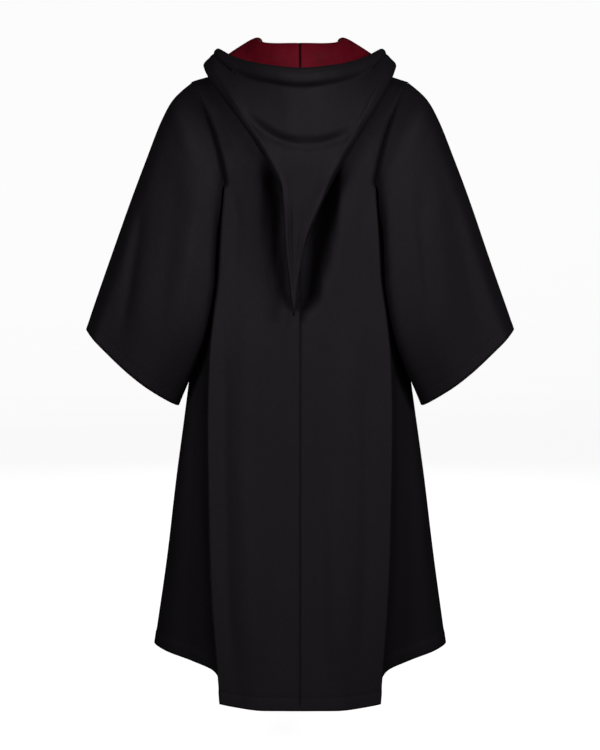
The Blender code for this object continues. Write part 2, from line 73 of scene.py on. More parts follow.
def hermite(start: Number, end: Number, leaving: Number, arriving: Number,
            t: float) -> np.ndarray:
    """Returns a point of the cubic from start to end with those tangents at its ends."""
    return ((2 * t ** 3 - 3 * t ** 2 + 1) * start + (t ** 3 - 2 * t ** 2 + t) * leaving
            + (3 * t ** 2 - 2 * t ** 3) * end + (t ** 3 - t ** 2) * arriving)


def through(knots: Sequence[float], values: Sequence, at: float) -> np.ndarray:
    """Reads a smooth curve that passes through values at the given knots.

    Args:
        knots: where along the curve each value stands.
        values: numbers, points or whole rings of points.
        at: where to read the curve.

    Returns:
        The value there.
    """
    places = np.asarray(knots, dtype=float)
    given = np.asarray(values, dtype=float)
    slopes = np.diff(given, axis=0) / np.diff(places).reshape(-1, *([1] * (given.ndim - 1)))
    tangents = np.concatenate([slopes[:1], (slopes[:-1] + slopes[1:]) / 2.0, slopes[-1:]])
    index = int(np.clip(np.searchsorted(places, at) - 1, 0, len(places) - 2))
    width = places[index + 1] - places[index]
    return hermite(given[index], given[index + 1], tangents[index] * width,
                   tangents[index + 1] * width, (at - places[index]) / width)


def refined(points: np.ndarray, spacing: float) -> tuple[np.ndarray, np.ndarray]:
    """Samples smooth curves closely.

    Args:
        points: an array whose first axis runs along the curves.
        spacing: the widest step wanted, in metres.

    Returns:
        The close points, and the index of each given point among them.
    """
    steps = np.maximum(np.linalg.norm(np.diff(points, axis=0), axis=2), SHORTEST_STEP)
    wide = np.percentile(steps, STEPS_WITHIN, axis=1)
    counts = np.maximum(1, np.ceil(wide / spacing)).astype(int)
    widths = np.sqrt(steps)[..., None]
    slopes = np.diff(points, axis=0) / widths
    inner = ((slopes[:-1] * widths[1:] + slopes[1:] * widths[:-1])
             / (widths[:-1] + widths[1:]))
    tangents = np.concatenate([slopes[:1], inner, slopes[-1:]])
    close = [hermite(points[i], points[i + 1], tangents[i] * widths[i],
                     tangents[i + 1] * widths[i], j / count)
             for i, count in enumerate(counts) for j in range(count)]
    return np.array(close + [points[-1]]), np.concatenate([[0], np.cumsum(counts)])


def placed(name: str, data: bpy.types.ID) -> bpy.types.Object:
    """Puts a mesh, a lamp or a camera in the scene.

    Args:
        name: the object's name.
        data: what it holds.

    Returns:
        The object, at the origin.
    """
    made = bpy.data.objects.new(name, data)
    bpy.context.scene.collection.objects.link(made)
    return made


# ---------------------------------------------------------------- choices
class View(Enum):
    """The side from which a fold is drawn: across axis, up axis, facing axis, its sign."""

    BACK = (0, 2, 1, 1.0)
    FRONT = (0, 2, 1, -1.0)
    LEFT = (1, 2, 0, 1.0)
    RIGHT = (1, 2, 0, -1.0)


class Side(Enum):
    """The wearer's two sides, with the sign of X on each."""

    LEFT = 1
    RIGHT = -1

    def node(self, piece: str) -> str:
        """Returns the name of a piece's node on this side."""
        return f"{piece}_{self.name.lower()}"

    def laid(self, points: np.ndarray) -> np.ndarray:
        """Returns points of the left side as they lie on this side."""
        return points * (self.value, 1.0, 1.0)


class Slot(Enum):
    """The record's material slots."""

    CLOTH = "black_cloth"
    LINING = "red_lining"


# ---------------------------------------------------------------- sheets of cloth
@dataclass
class Sheet:
    """A sheet of cloth, as close points over its middle surface.

    Attributes:
        points: columns by rows by three; row 0 is the hem, neck end or sewn end.
        outward: 1 or -1, so that the normals face out of the garment.
        closed: whether the last column joins the first, as on a tube.
        cut: the cells that the cloth doesn't have, or None.
    """

    points: np.ndarray
    outward: float = 1.0
    closed: bool = False
    cut: np.ndarray | None = None

    def normals(self) -> np.ndarray:
        """Works out which way the cloth faces.

        Returns:
            The outward normal at each point.
        """
        if self.closed:
            across = np.roll(self.points, -1, axis=0) - np.roll(self.points, 1, axis=0)
        else:
            across = np.gradient(self.points, axis=0)
        return unit(np.cross(across, np.gradient(self.points, axis=1))) * self.outward

    def lifted(self, amount: Number) -> "Sheet":
        """Returns the sheet with its points moved out by an amount in metres."""
        out = amount[..., None] if isinstance(amount, np.ndarray) else amount
        return replace(self, points=self.points + self.normals() * out)

    def on(self, side: Side) -> "Sheet":
        """Returns a sheet of the left side as it lies on the given side."""
        return replace(self, points=side.laid(self.points), outward=self.outward * side.value)

    def folded(self, folds: "Sequence[Fold | Ripple]", free: Number = 1.0) -> "Sheet":
        """Lays folds into the cloth.

        Args:
            folds: the folds and the ripples.
            free: the share of each that the cloth is free to take.

        Returns:
            The cloth with its folds.
        """
        normals = self.normals()
        return self.lifted(free * sum(fold.lift(self.points, normals) for fold in folds))

    def lengths(self) -> tuple[np.ndarray, np.ndarray]:
        """Measures the cloth.

        Returns:
            How far across, from its middle, and how far along the cloth each point lies.
        """
        ring = self.points
        if self.closed:
            ring = np.concatenate([ring, ring[:1]])
        across = np.linalg.norm(np.diff(ring, axis=0), axis=2)
        along = np.linalg.norm(np.diff(ring, axis=1), axis=2)
        across = np.concatenate([np.zeros((1, ring.shape[1])), np.cumsum(across, axis=0)])
        along = np.concatenate([np.zeros((ring.shape[0], 1)), np.cumsum(along, axis=1)], axis=1)
        return across - across[-1:] / 2.0, along

    def beside_edge(self, column: int, width: float) -> np.ndarray:
        """Returns a share that is 1 at column 0 or -1 and soon falls to 0 beside it."""
        across = self.lengths()[0][:self.points.shape[0]]
        return np.exp(-((across - across[column]) / width) ** 2)

    def inset(self, distance: float, from_start: bool) -> np.ndarray:
        """Follows an end of the sheet at a distance from it.

        Args:
            distance: how far from the end the line lies, in metres.
            from_start: whether it follows row 0 or the last row.

        Returns:
            The line's points, one column short of an open sheet's edges.
        """
        along = self.lengths()[1][:self.points.shape[0]]
        margin = 0 if self.closed else 1
        line = []
        for column in range(margin, self.points.shape[0] - margin):
            run = along[column]
            place = distance if from_start else run[-1] - distance
            line.append([np.interp(place, run, self.points[column, :, axis])
                         for axis in range(3)])
        if self.closed:
            line.append(line[0])
        return np.array(line)


@dataclass(frozen=True)
class Fold:
    """A soft trough or ridge along a line drawn from one side of the robe.

    Attributes:
        view: the side it is drawn from.
        line: points across and up, in metres.
        width: half its width.
        height: how far it stands out; below 0 it is a trough.
        roll: how far the cloth on the left of the line rolls over it.
        roll_width: half the width of that roll.
        fade: the share of its length over which each end runs out.
        full_facing: how squarely the cloth faces the view where the fold is whole.
        samples: how many points its line is drawn with.
    """

    view: View
    line: tuple[tuple[float, float], ...]
    width: float
    height: float
    roll: float = 0.0
    roll_width: float = 0.01
    fade: float = 0.3
    full_facing: float = 0.5
    samples: int = 25

    def lift(self, points: np.ndarray, normals: np.ndarray) -> np.ndarray:
        """Works out how far the fold moves each point out.

        Args:
            points: the cloth's points.
            normals: their outward normals.

        Returns:
            The distances in metres.
        """
        across_axis, up_axis, facing_axis, sign = self.view.value
        flat = points[..., (across_axis, up_axis)]
        knots = np.linspace(0.0, 1.0, len(self.line))
        run = np.array([through(knots, self.line, at)
                        for at in np.linspace(0.0, 1.0, self.samples)])
        steps = np.diff(run, axis=0)
        sizes = np.linalg.norm(steps, axis=1)
        total = sizes.sum()
        nearest = np.full(flat.shape[:-1], np.inf)
        beside = np.zeros(flat.shape[:-1])
        along = np.zeros(flat.shape[:-1])
        start = 0.0
        for origin, step, size in zip(run[:-1], steps, sizes):
            offset = flat - origin
            place = np.clip((offset @ step) / size ** 2, 0.0, 1.0)
            distance = np.linalg.norm(offset - place[..., None] * step, axis=-1)
            closer = distance < nearest
            left = step[0] * offset[..., 1] - step[1] * offset[..., 0]
            nearest = np.where(closer, distance, nearest)
            beside = np.where(closer, np.copysign(distance, left), beside)
            along = np.where(closer, (start + place * size) / total, along)
            start += size
        facing = smooth(normals[..., facing_axis] * sign / self.full_facing)
        ends = smooth(along / self.fade) * smooth((1.0 - along) / self.fade)
        shape = self.height * np.exp(-(nearest / self.width) ** 2)
        shape += self.roll * np.exp(-((beside - self.roll_width) / self.roll_width) ** 2)
        return shape * facing * ends


@dataclass(frozen=True)
class Ripple:
    """The uneven softness of cloth that hangs, as many faint waves.

    Attributes:
        height: how far the waves move the cloth, in metres.
        longest: the longest wavelength.
        shortest: the shortest one.
        upright: above 1, the waves are drawn out up and down.
        seed: which set of waves.
        waves: how many there are.
        lean_long: below 1, more of them are long.
    """

    height: float
    longest: float = 0.34
    shortest: float = 0.07
    upright: float = 2.6
    seed: int = 3
    waves: int = 28
    lean_long: float = 0.7

    def lift(self, points: np.ndarray, normals: np.ndarray) -> np.ndarray:
        """Works out how far the waves move each point out.

        Args:
            points: the cloth's points.
            normals: their outward normals, which ripples pass over.

        Returns:
            The distances in metres.
        """
        del normals
        choose = np.random.default_rng(self.seed)
        total = np.zeros(points.shape[:-1])
        weight = 0.0
        for _ in range(self.waves):
            direction = unit(choose.normal(size=3)) * (1.0, 1.0, 1.0 / self.upright)
            length = mix(self.shortest, self.longest, choose.random() ** self.lean_long)
            share = length / self.longest
            phase = choose.random() * 2.0 * math.pi
            total += share * np.sin(points @ direction * (2.0 * math.pi / length) + phase)
            weight += share ** 2
        return self.height * total / math.sqrt(weight)


@dataclass(frozen=True)
class SeamDent:
    """The groove that cloth makes where it is drawn in by a seam.

    Attributes:
        line: the seam's points.
        depth: how deep the groove is where it is deepest.
        width: half its width.
        top_z: the height at which it has run out at the top.
        bottom_z: the height at which it has run out at the bottom.
        top_run: the height over which it runs out at the top.
        bottom_run: the height over which it runs out at the bottom.
        turn: how far from the middle, in Y, the pull is whole.
        parts: how many parts each step of the line is measured at.
    """

    line: np.ndarray
    depth: float = 0.0095
    width: float = 0.0045
    top_z: float = -0.070
    bottom_z: float = -0.290
    top_run: float = 0.10
    bottom_run: float = 0.035
    turn: float = 0.01
    parts: int = 4

    def drawn_in(self, sheet: Sheet) -> Sheet:
        """Draws the cloth beside the seam in, towards the middle of the garment.

        Args:
            sheet: the cloth on one side of the seam.

        Returns:
            The cloth with its half of the groove.
        """
        shares = np.linspace(0.0, 1.0, self.parts, endpoint=False)[:, None, None]
        nearest = np.full(sheet.points.shape[:-1], np.inf)
        for spot in mix(self.line[:-1], self.line[1:], shares).reshape(-1, 3):
            nearest = np.minimum(nearest, np.linalg.norm(sheet.points - spot, axis=-1))
        height = sheet.points[..., 2]
        share = smooth((self.top_z - height) / self.top_run) * smooth(
            (height - self.bottom_z) / self.bottom_run)
        depth = self.depth * share * np.exp(-(nearest / self.width) ** 2)
        moved = sheet.points.copy()
        moved[..., 1] -= depth * np.tanh(moved[..., 1] / self.turn)
        return replace(sheet, points=moved)


@dataclass(frozen=True)
class Hem:
    """A turned hem: thicker inside, with a line of stitches that dents the outside.

    Attributes:
        depth: how far from the edge it is sewn.
        thicker: how much the turned cloth adds inside.
        beyond: how far past the stitches the turned cloth reaches.
        run_in: the distance over which it gets thicker.
        dent: how deep the stitches pull the outside in.
        dent_width: half the width of that dent.
    """

    depth: float
    thicker: float = 0.0011
    beyond: float = 0.003
    run_in: float = 0.004
    dent: float = 0.0007
    dent_width: float = 0.0022

    def fullness(self, distance: np.ndarray) -> np.ndarray:
        """Returns how much thicker the inside is at a distance from the edge."""
        return self.thicker * smooth((self.depth + self.beyond - distance) / self.run_in)

    def sunken(self, distance: np.ndarray) -> np.ndarray:
        """Returns how far the outside sinks at a distance from the edge."""
        return self.dent * np.exp(-((distance - self.depth) / self.dent_width) ** 2)


@dataclass(frozen=True)
class Shell:
    """Gives a sheet its two faces, its rounded edges and its hems.

    Attributes:
        thickness: the cloth's, in metres.
        start_hem: the hem along row 0, if it has one.
        end_hem: the hem along the last row, if it has one.
        thread_sunk: how far the stitches lie in the cloth.
    """

    thickness: float
    start_hem: Hem | None = None
    end_hem: Hem | None = None
    thread_sunk: float = 0.0002

    def seams(self, sheet: Sheet) -> list[np.ndarray]:
        """Finds where the hems are sewn.

        Args:
            sheet: the cloth's middle surface.

        Returns:
            The points of each line of stitches, on the cloth's outside.
        """
        outside = sheet.lifted(self.thickness / 2 - self.thread_sunk)
        return [outside.inset(hem.depth, hem is self.start_hem)
                for hem in (self.start_hem, self.end_hem) if hem]

    def faces(self, sheet: Sheet) -> tuple[np.ndarray, np.ndarray]:
        """Works out the outer face's quads.

        Args:
            sheet: the cloth's middle surface.

        Returns:
            The four points of each quad, by number, and their places in metres of cloth.
        """
        columns, rows = sheet.points.shape[:2]
        across, along = sheet.lengths()
        cells = np.array([(c, r) for c in range(columns if sheet.closed else columns - 1)
                          for r in range(rows - 1)
                          if sheet.cut is None or not sheet.cut[c, r]])
        turn = ((0, 0), (1, 0), (1, 1), (0, 1))
        if sheet.outward < 0:
            turn = turn[::-1]
        corners = np.stack([cells + step for step in turn], axis=1)
        ids = (corners[..., 0] % columns) * rows + corners[..., 1]
        uvs = np.stack([across[corners[..., 0], corners[..., 1]],
                        along[corners[..., 0], corners[..., 1]]], axis=-1)
        return ids, uvs

    @staticmethod
    def open_edges(ids: np.ndarray, uvs: np.ndarray) -> dict:
        """Finds the edges that only one quad has.

        Args:
            ids: the four points of each quad.
            uvs: their places in metres of cloth.

        Returns:
            Each edge's two places, by the numbers of its two points.
        """
        edges = {}
        for quad, spot in zip(ids.tolist(), uvs):
            for k in range(4):
                a, b = quad[k], quad[(k + 1) % 4]
                if edges.pop((b, a), None) is None:
                    edges[(a, b)] = (spot[k], spot[(k + 1) % 4])
        return edges

    def mesh(self, name: str, sheet: Sheet) -> bpy.types.Mesh:
        """Makes the closed mesh of a sheet of cloth.

        Args:
            name: the mesh's name.
            sheet: the cloth's middle surface.

        Returns:
            The mesh, with a UV map in metres of cloth.
        """
        columns, rows = sheet.points.shape[:2]
        normals = sheet.normals()
        along = sheet.lengths()[1][:columns]
        outer = np.full((columns, rows), self.thickness / 2.0)
        inner = outer.copy()
        for hem, distance in ((self.start_hem, along), (self.end_hem, along[:, -1:] - along)):
            if hem:
                outer -= hem.sunken(distance)
                inner += hem.fullness(distance)
        outside = (sheet.points + normals * outer[..., None]).reshape(-1, 3)
        inside = (sheet.points - normals * inner[..., None]).reshape(-1, 3)
        ids, uvs = self.faces(sheet)
        edges = self.open_edges(ids, uvs)

        pushes: dict[int, np.ndarray] = {}
        flat_points, flat_normals = sheet.points.reshape(-1, 3), normals.reshape(-1, 3)
        for a, b in edges:
            push = np.cross(flat_points[b] - flat_points[a], flat_normals[a] + flat_normals[b])
            for end in (a, b):
                pushes[end] = pushes.get(end, 0.0) + unit(push)
        border = sorted(pushes)
        total = len(flat_points)
        rims = {end: 2 * total + i for i, end in enumerate(border)}
        middle = (outside + inside) / 2.0
        rim_points = np.array([middle[end] + unit(pushes[end]) * self.thickness / 2.0
                               for end in border])

        quads = ids.tolist()
        faces = [tuple(quad) for quad in quads]
        faces += [tuple(total + v for v in reversed(quad)) for quad in quads]
        spots = [uvs.reshape(-1, 2), uvs[:, ::-1].reshape(-1, 2)]
        for (a, b), (spot_a, spot_b) in edges.items():
            faces += [(b, a, rims[a], rims[b]), (rims[b], rims[a], total + a, total + b)]
            spots.append(np.array([spot_b, spot_a, spot_a, spot_b] * 2))
        mesh = bpy.data.meshes.new(name)
        mesh.from_pydata(np.concatenate([outside, inside, rim_points]), [], faces)
        layer = mesh.uv_layers.new(name="Cloth")
        layer.data.foreach_set("uv", np.concatenate(spots).astype(np.float32).ravel())
        used = np.zeros(len(mesh.vertices), dtype=bool)
        used[np.unique(np.array(faces))] = True
        if not used.all():
            drop_loose(mesh, used)
        mesh.shade_smooth()
        return mesh


def drop_loose(mesh: bpy.types.Mesh, used: np.ndarray) -> None:
    """Deletes the points of a mesh that no face uses.

    Args:
        mesh: the mesh to clean.
        used: whether each point is used.
    """
    work = bmesh.new()
    work.from_mesh(mesh)
    work.verts.ensure_lookup_table()
    loose = [work.verts[i] for i in np.flatnonzero(~used)]
    bmesh.ops.delete(work, geom=loose, context="VERTS")
    work.to_mesh(mesh)
    work.free()


# ---------------------------------------------------------------- the body's form
class Section(NamedTuple):
    """One cross-section of the body: 0 at the underarm, 1 at the hem."""

    share: float
    centre_y: float
    ridge_x: float
    ridge_y: float
    valley_x: float
    valley_y: float
    side_x: float
    side_y: float
    front_x: float
    front_y: float
    edge_y: float


class Levels(NamedTuple):
    """The heights of the body's upright lines at one end."""

    centre: float
    ridge: float
    valley: float
    side: float
    front: float
    edge: float


class UprightFold(NamedTuple):
    """A soft upright fold: its column, width and height at the hem."""

    column: float
    width: float
    height: float


@dataclass
class BodyForm:
    """The form of the body for the wearer's left half, from its cut's sizes."""

    neck_half_width: float = 0.085
    neck_back: float = 0.062
    neck_back_drop: float = 0.004
    neck_front: float = 0.095
    neck_front_drop: float = 0.085
    neck_fall: float = 1.3
    shoulder_tip: Triple = (0.2196, 0.0, -0.057)
    shoulder_sag: float = 0.005
    front_opening: float = 0.0015
    seam: float = 0.0003
    shoulder_seam: float = 0.0005
    corner: float = 0.0009
    back_columns: int = 8
    back_neck_columns: int = 4
    upper_rows: int = 6
    skirt_rows: int = 16
    front_knots: tuple[int, ...] = (0, 3, 6, 9, 19)
    neck_column: int = 13
    sections: tuple[Section, ...] = (
        Section(0.00, 0.108, 0.150, 0.092, 0.157, 0.050, 0.165, 0.000, 0.156, -0.070, -0.118),
        Section(0.10, 0.111, 0.157, 0.099, 0.163, 0.050, 0.178, 0.000, 0.166, -0.085, -0.125),
        Section(0.20, 0.116, 0.163, 0.106, 0.173, 0.052, 0.196, 0.000, 0.174, -0.097, -0.132),
        Section(0.28, 0.124, 0.176, 0.114, 0.185, 0.054, 0.210, -0.003, 0.181, -0.108, -0.139),
        Section(0.41, 0.138, 0.1838, 0.125, 0.193, 0.057, 0.228, -0.008, 0.190, -0.125, -0.153),
        Section(0.62, 0.161, 0.1820, 0.147, 0.193, 0.062, 0.256, -0.012, 0.205, -0.147, -0.175),
        Section(0.80, 0.181, 0.1755, 0.168, 0.188, 0.069, 0.277, -0.017, 0.216, -0.163, -0.191),
        Section(1.00, 0.205, 0.1600, 0.186, 0.1768, 0.078, 0.3038, -0.020, 0.225, -0.178,
                -0.207),
    )
    underarm_z: Levels = Levels(-0.265, -0.265, -0.280, -0.286, -0.250, -0.250)
    hem_z: Levels = Levels(-1.304, -1.296, -1.257, -1.224, -1.240, -1.250)
    back_folds: tuple[UprightFold, ...] = (UprightFold(4.2, 1.6, 0.006),)
    front_folds: tuple[UprightFold, ...] = (
        UprightFold(4.6, 1.0, 0.008), UprightFold(8.0, 1.1, 0.012),
        UprightFold(12.0, 1.3, 0.018), UprightFold(16.4, 1.4, 0.015))
    sideways: Triple = (1.0, 0.0, 0.0)
    forward: Triple = (0.35, -0.94, 0.0)
    hollow_half_width: float = 0.080
    hollow_depth: float = 0.034
    hollow_top: float = -0.14
    hollow_full: float = -0.24
    hollow_taper: float = -0.37
    hollow_point: float = -0.54
    hollow_flatness: float = 1.3
    back_leaving: Triple = (0.0, 0.015, 0.24)
    back_leaving_spread: float = 0.02
    front_leaving_y: float = -0.02
    at_back_neck: Triple = (0.0, -0.08, 0.17)
    back_at_neck_point: Triple = (0.0, -0.17, 0.03)
    back_at_tip: Triple = (0.05, -0.13, 0.02)
    at_throat: Triple = (0.0, 0.03, 0.14)
    front_at_neck_point: Triple = (0.0, 0.20, 0.04)
    front_at_tip: Triple = (0.05, 0.13, 0.02)

    @property
    def rows(self) -> int:
        """Returns how many rows the body's control grids have."""
        return self.skirt_rows + self.upper_rows

    def hollow(self, x: float, z: float) -> float:
        """Works out how far the back sinks in beside the hood's tail.

        Args:
            x: how far across.
            z: how high.

        Returns:
            The depth in metres.
        """
        half_width = self.hollow_half_width
        if z < self.hollow_taper:
            half_width *= (z - self.hollow_point) / (self.hollow_taper - self.hollow_point)
        if half_width <= abs(x):
            return 0.0
        entry = smooth((self.hollow_top - z) / (self.hollow_top - self.hollow_full))
        depth = self.hollow_depth * entry * half_width / self.hollow_half_width
        return depth * math.cos(math.pi / 2 * abs(x) / half_width) ** self.hollow_flatness

    def section(self, share: float) -> Section:
        """Returns the cross-section at a share of the way down from the underarm."""
        return Section(*through([row.share for row in self.sections], self.sections, share))

    def levels(self, share: float) -> Levels:
        """Returns the upright lines' heights at a share of the way down."""
        return Levels(*(mix(top, hem, share)
                        for top, hem in zip(self.underarm_z, self.hem_z)))

    @staticmethod
    def pushed(folds: tuple[UprightFold, ...], column: float) -> float:
        """Returns how far the upright folds push the cloth out at the hem."""
        return sum(fold.height * math.exp(-((column - fold.column) / fold.width) ** 2)
                   for fold in folds)

    def back_lower(self, column: int, share: float) -> np.ndarray:
        """Places a point of the back below the underarm.

        Args:
            column: 0 at the centre seam, the last one at the ridge.
            share: 0 at the underarm, 1 at the hem.

        Returns:
            The point.
        """
        section, levels = self.section(share), self.levels(share)
        across = column / self.back_columns
        y = (mix(section.ridge_y, section.centre_y, 1.0 - across ** 2)
             + share * self.pushed(self.back_folds, column))
        return np.array([section.ridge_x * across, y,
                         mix(levels.centre, levels.ridge, across ** 3)])

    def front_lower(self, column: int, share: float) -> np.ndarray:
        """Places a point of the front below the underarm.

        Args:
            column: 0 at the ridge, the last one at the front edge.
            share: 0 at the underarm, 1 at the hem.

        Returns:
            The point.
        """
        section, levels = self.section(share), self.levels(share)
        points = ((section.ridge_x, section.ridge_y, levels.ridge),
                  (section.valley_x, section.valley_y, levels.valley),
                  (section.side_x, section.side_y, levels.side),
                  (section.front_x, section.front_y, levels.front),
                  (self.front_opening, section.edge_y, levels.edge))
        valley, front = self.front_knots[1], self.front_knots[3]
        turned = smooth((column - valley) / (front - valley))
        outward = unit(mix(np.array(self.sideways), np.array(self.forward), turned))
        return (through(self.front_knots, points, column)
                + outward * share * self.pushed(self.front_folds, column))

    def neckline_back(self, share: float) -> np.ndarray:
        """Places a point of the back neckline.

        Args:
            share: 0 at the centre, 1 at the shoulder.

        Returns:
            The point.
        """
        sine, cosine = math.sin(share * math.pi / 2), math.cos(share * math.pi / 2)
        return np.array([self.neck_half_width * sine, self.neck_back * cosine,
                         -self.neck_back_drop * cosine])

    def neckline_front(self, share: float) -> np.ndarray:
        """Places a point of the front neckline.

        Args:
            share: 0 at the shoulder, 1 at the throat.

        Returns:
            The point.
        """
        angle = share * math.pi / 2
        width = self.neck_half_width - self.front_opening
        return np.array([self.front_opening + width * math.cos(angle),
                         -self.neck_front * math.sin(angle),
                         -self.neck_front_drop * share ** self.neck_fall])

    def shoulder(self, share: float) -> np.ndarray:
        """Returns a point of the shoulder seam, from the neck to the tip."""
        dip = np.array([0.0, 0.0, -self.shoulder_sag * math.sin(math.pi * share)])
        return mix(self.neckline_front(0.0), np.array(self.shoulder_tip), share) + dip

    def back_upper(self, column: int, share: float) -> np.ndarray:
        """Places a point of the back above the underarm.

        Args:
            column: 0 at the centre seam, the last one at the ridge.
            share: 0 at the underarm, 1 at the neck or the shoulder.

        Returns:
            The point.
        """
        turn = np.array(self.back_at_neck_point)
        if column <= self.back_neck_columns:
            part = column / self.back_neck_columns
            top, arriving = self.neckline_back(part), mix(np.array(self.at_back_neck), turn, part)
        else:
            part = ((column - self.back_neck_columns)
                    / (self.back_columns - self.back_neck_columns))
            top, arriving = self.shoulder(part), mix(turn, np.array(self.back_at_tip), part)
        spread = self.back_leaving_spread * column / self.back_columns
        leaving = np.array(self.back_leaving) + np.array(self.sideways) * spread
        return hermite(self.back_lower(column, 0.0), top, leaving, arriving, share)

    def front_upper(self, column: int, share: float) -> np.ndarray:
        """Places a point of the front above the underarm.

        Args:
            column: one from the armhole to the front edge.
            share: 0 at the underarm, 1 at the neck or the shoulder.

        Returns:
            The point.
        """
        front, edge = self.front_knots[3], self.front_knots[4]
        turn = np.array(self.front_at_neck_point)
        if column >= self.neck_column:
            part = (column - self.neck_column) / (edge - self.neck_column)
            top = self.neckline_front(part)
            arriving = mix(turn, np.array(self.at_throat), smooth(part))
        else:
            part = (self.neck_column - column) / (self.neck_column - front)
            top, arriving = self.shoulder(part), mix(turn, np.array(self.front_at_tip), part)
        bottom = self.front_lower(column, 0.0)
        leaving = np.array([0.0, self.front_leaving_y, float(np.linalg.norm(top - bottom))])
        return hermite(bottom, top, leaving, arriving, share)

    def back_grid(self, clear: bool) -> np.ndarray:
        """Places the back panel's control points.

        Args:
            clear: whether the panel's edges stand clear of the next pieces.

        Returns:
            The points, columns by rows.
        """
        grid = np.zeros((self.back_columns + 1, self.rows + 1, 3))
        for column, row in np.ndindex(grid.shape[:2]):
            if row <= self.skirt_rows:
                point = self.back_lower(column, 1.0 - row / self.skirt_rows)
            else:
                point = self.back_upper(column, (row - self.skirt_rows) / self.upper_rows)
            point[1] -= self.hollow(point[0], point[2])
            grid[column, row] = point
        if clear:
            grid[0, :, 0] += self.seam
            grid[-1, :self.skirt_rows + 1, 0] -= self.corner
            grid[self.back_neck_columns:, -1, 1] += self.shoulder_seam
        return grid

    def front_grid(self, clear: bool) -> np.ndarray:
        """Places the front panel's control points.

        Args:
            clear: whether the panel's edges stand clear of the next pieces.

        Returns:
            The points, columns by rows; those that the armhole cuts away go on smoothly.
        """
        edge, front, top = self.front_knots[4], self.front_knots[3], self.skirt_rows
        grid = np.zeros((edge + 1, self.rows + 1, 3))
        for column, row in np.ndindex(grid.shape[:2]):
            if row <= top:
                grid[column, row] = self.front_lower(column, 1.0 - row / top)
            elif column >= front:
                grid[column, row] = self.front_upper(column, (row - top) / self.upper_rows)
        grid[:front, top + 1:] = (grid[front, top + 1:] + grid[:front, top, None]
                                  - grid[front, top])
        if clear:
            grid[0, :top + 1, 1] -= self.corner
            grid[front:self.neck_column + 1, -1, 1] -= self.shoulder_seam
        return grid

    def sheets(self, spacing: float, clear: bool = True) -> tuple[Sheet, Sheet, np.ndarray]:
        """Makes the close sheets of the left back and front panels.

        Args:
            spacing: the widest step between points.
            clear: whether the edges stand clear of the next pieces.

        Returns:
            The back sheet, the front sheet and the armhole's seam line, from the
            shoulder's tip down the back and up the front.
        """
        back, _ = refined(self.back_grid(clear), spacing)
        back, back_rows = refined(back.swapaxes(0, 1), spacing)
        back = back.swapaxes(0, 1)
        front, front_columns = refined(self.front_grid(clear), spacing)
        front, front_rows = refined(front.swapaxes(0, 1), spacing)
        front = front.swapaxes(0, 1)
        column = front_columns[self.front_knots[3]]
        back_row, row = back_rows[self.skirt_rows], front_rows[self.skirt_rows]
        cut = np.zeros((front.shape[0] - 1, front.shape[1] - 1), dtype=bool)
        cut[:column, row:] = True
        armhole = np.concatenate([back[-1, :back_row:-1], front[:column, row],
                                  front[column, row:-1]])
        return Sheet(back, -1.0), Sheet(front, 1.0, cut=cut), armhole

    def neckline(self, at: float, side_at: float) -> np.ndarray:
        """Follows the whole neckline.

        Args:
            at: 0 at the centre back, 1 at the throat.
            side_at: where the shoulder seam meets it.

        Returns:
            The point there.
        """
        if at <= side_at:
            place = at / side_at * self.back_neck_columns
            count, border = self.back_neck_columns, self.neckline_back
        else:
            count, border = self.front_knots[4] - self.neck_column, self.neckline_front
            place = (at - side_at) / (1.0 - side_at) * count
        index = min(int(place), count - 1)
        return mix(border(index / count), border((index + 1) / count), place - index)


# ---------------------------------------------------------------- the sleeve's form
class Ring(NamedTuple):
    """One loop of the sleeve, flattened between its outer fold and its inner seam."""

    outer_x: float
    outer_z: float
    inner_x: float
    inner_y: float
    inner_z: float
    depth: float
    slant: float
    bow: float


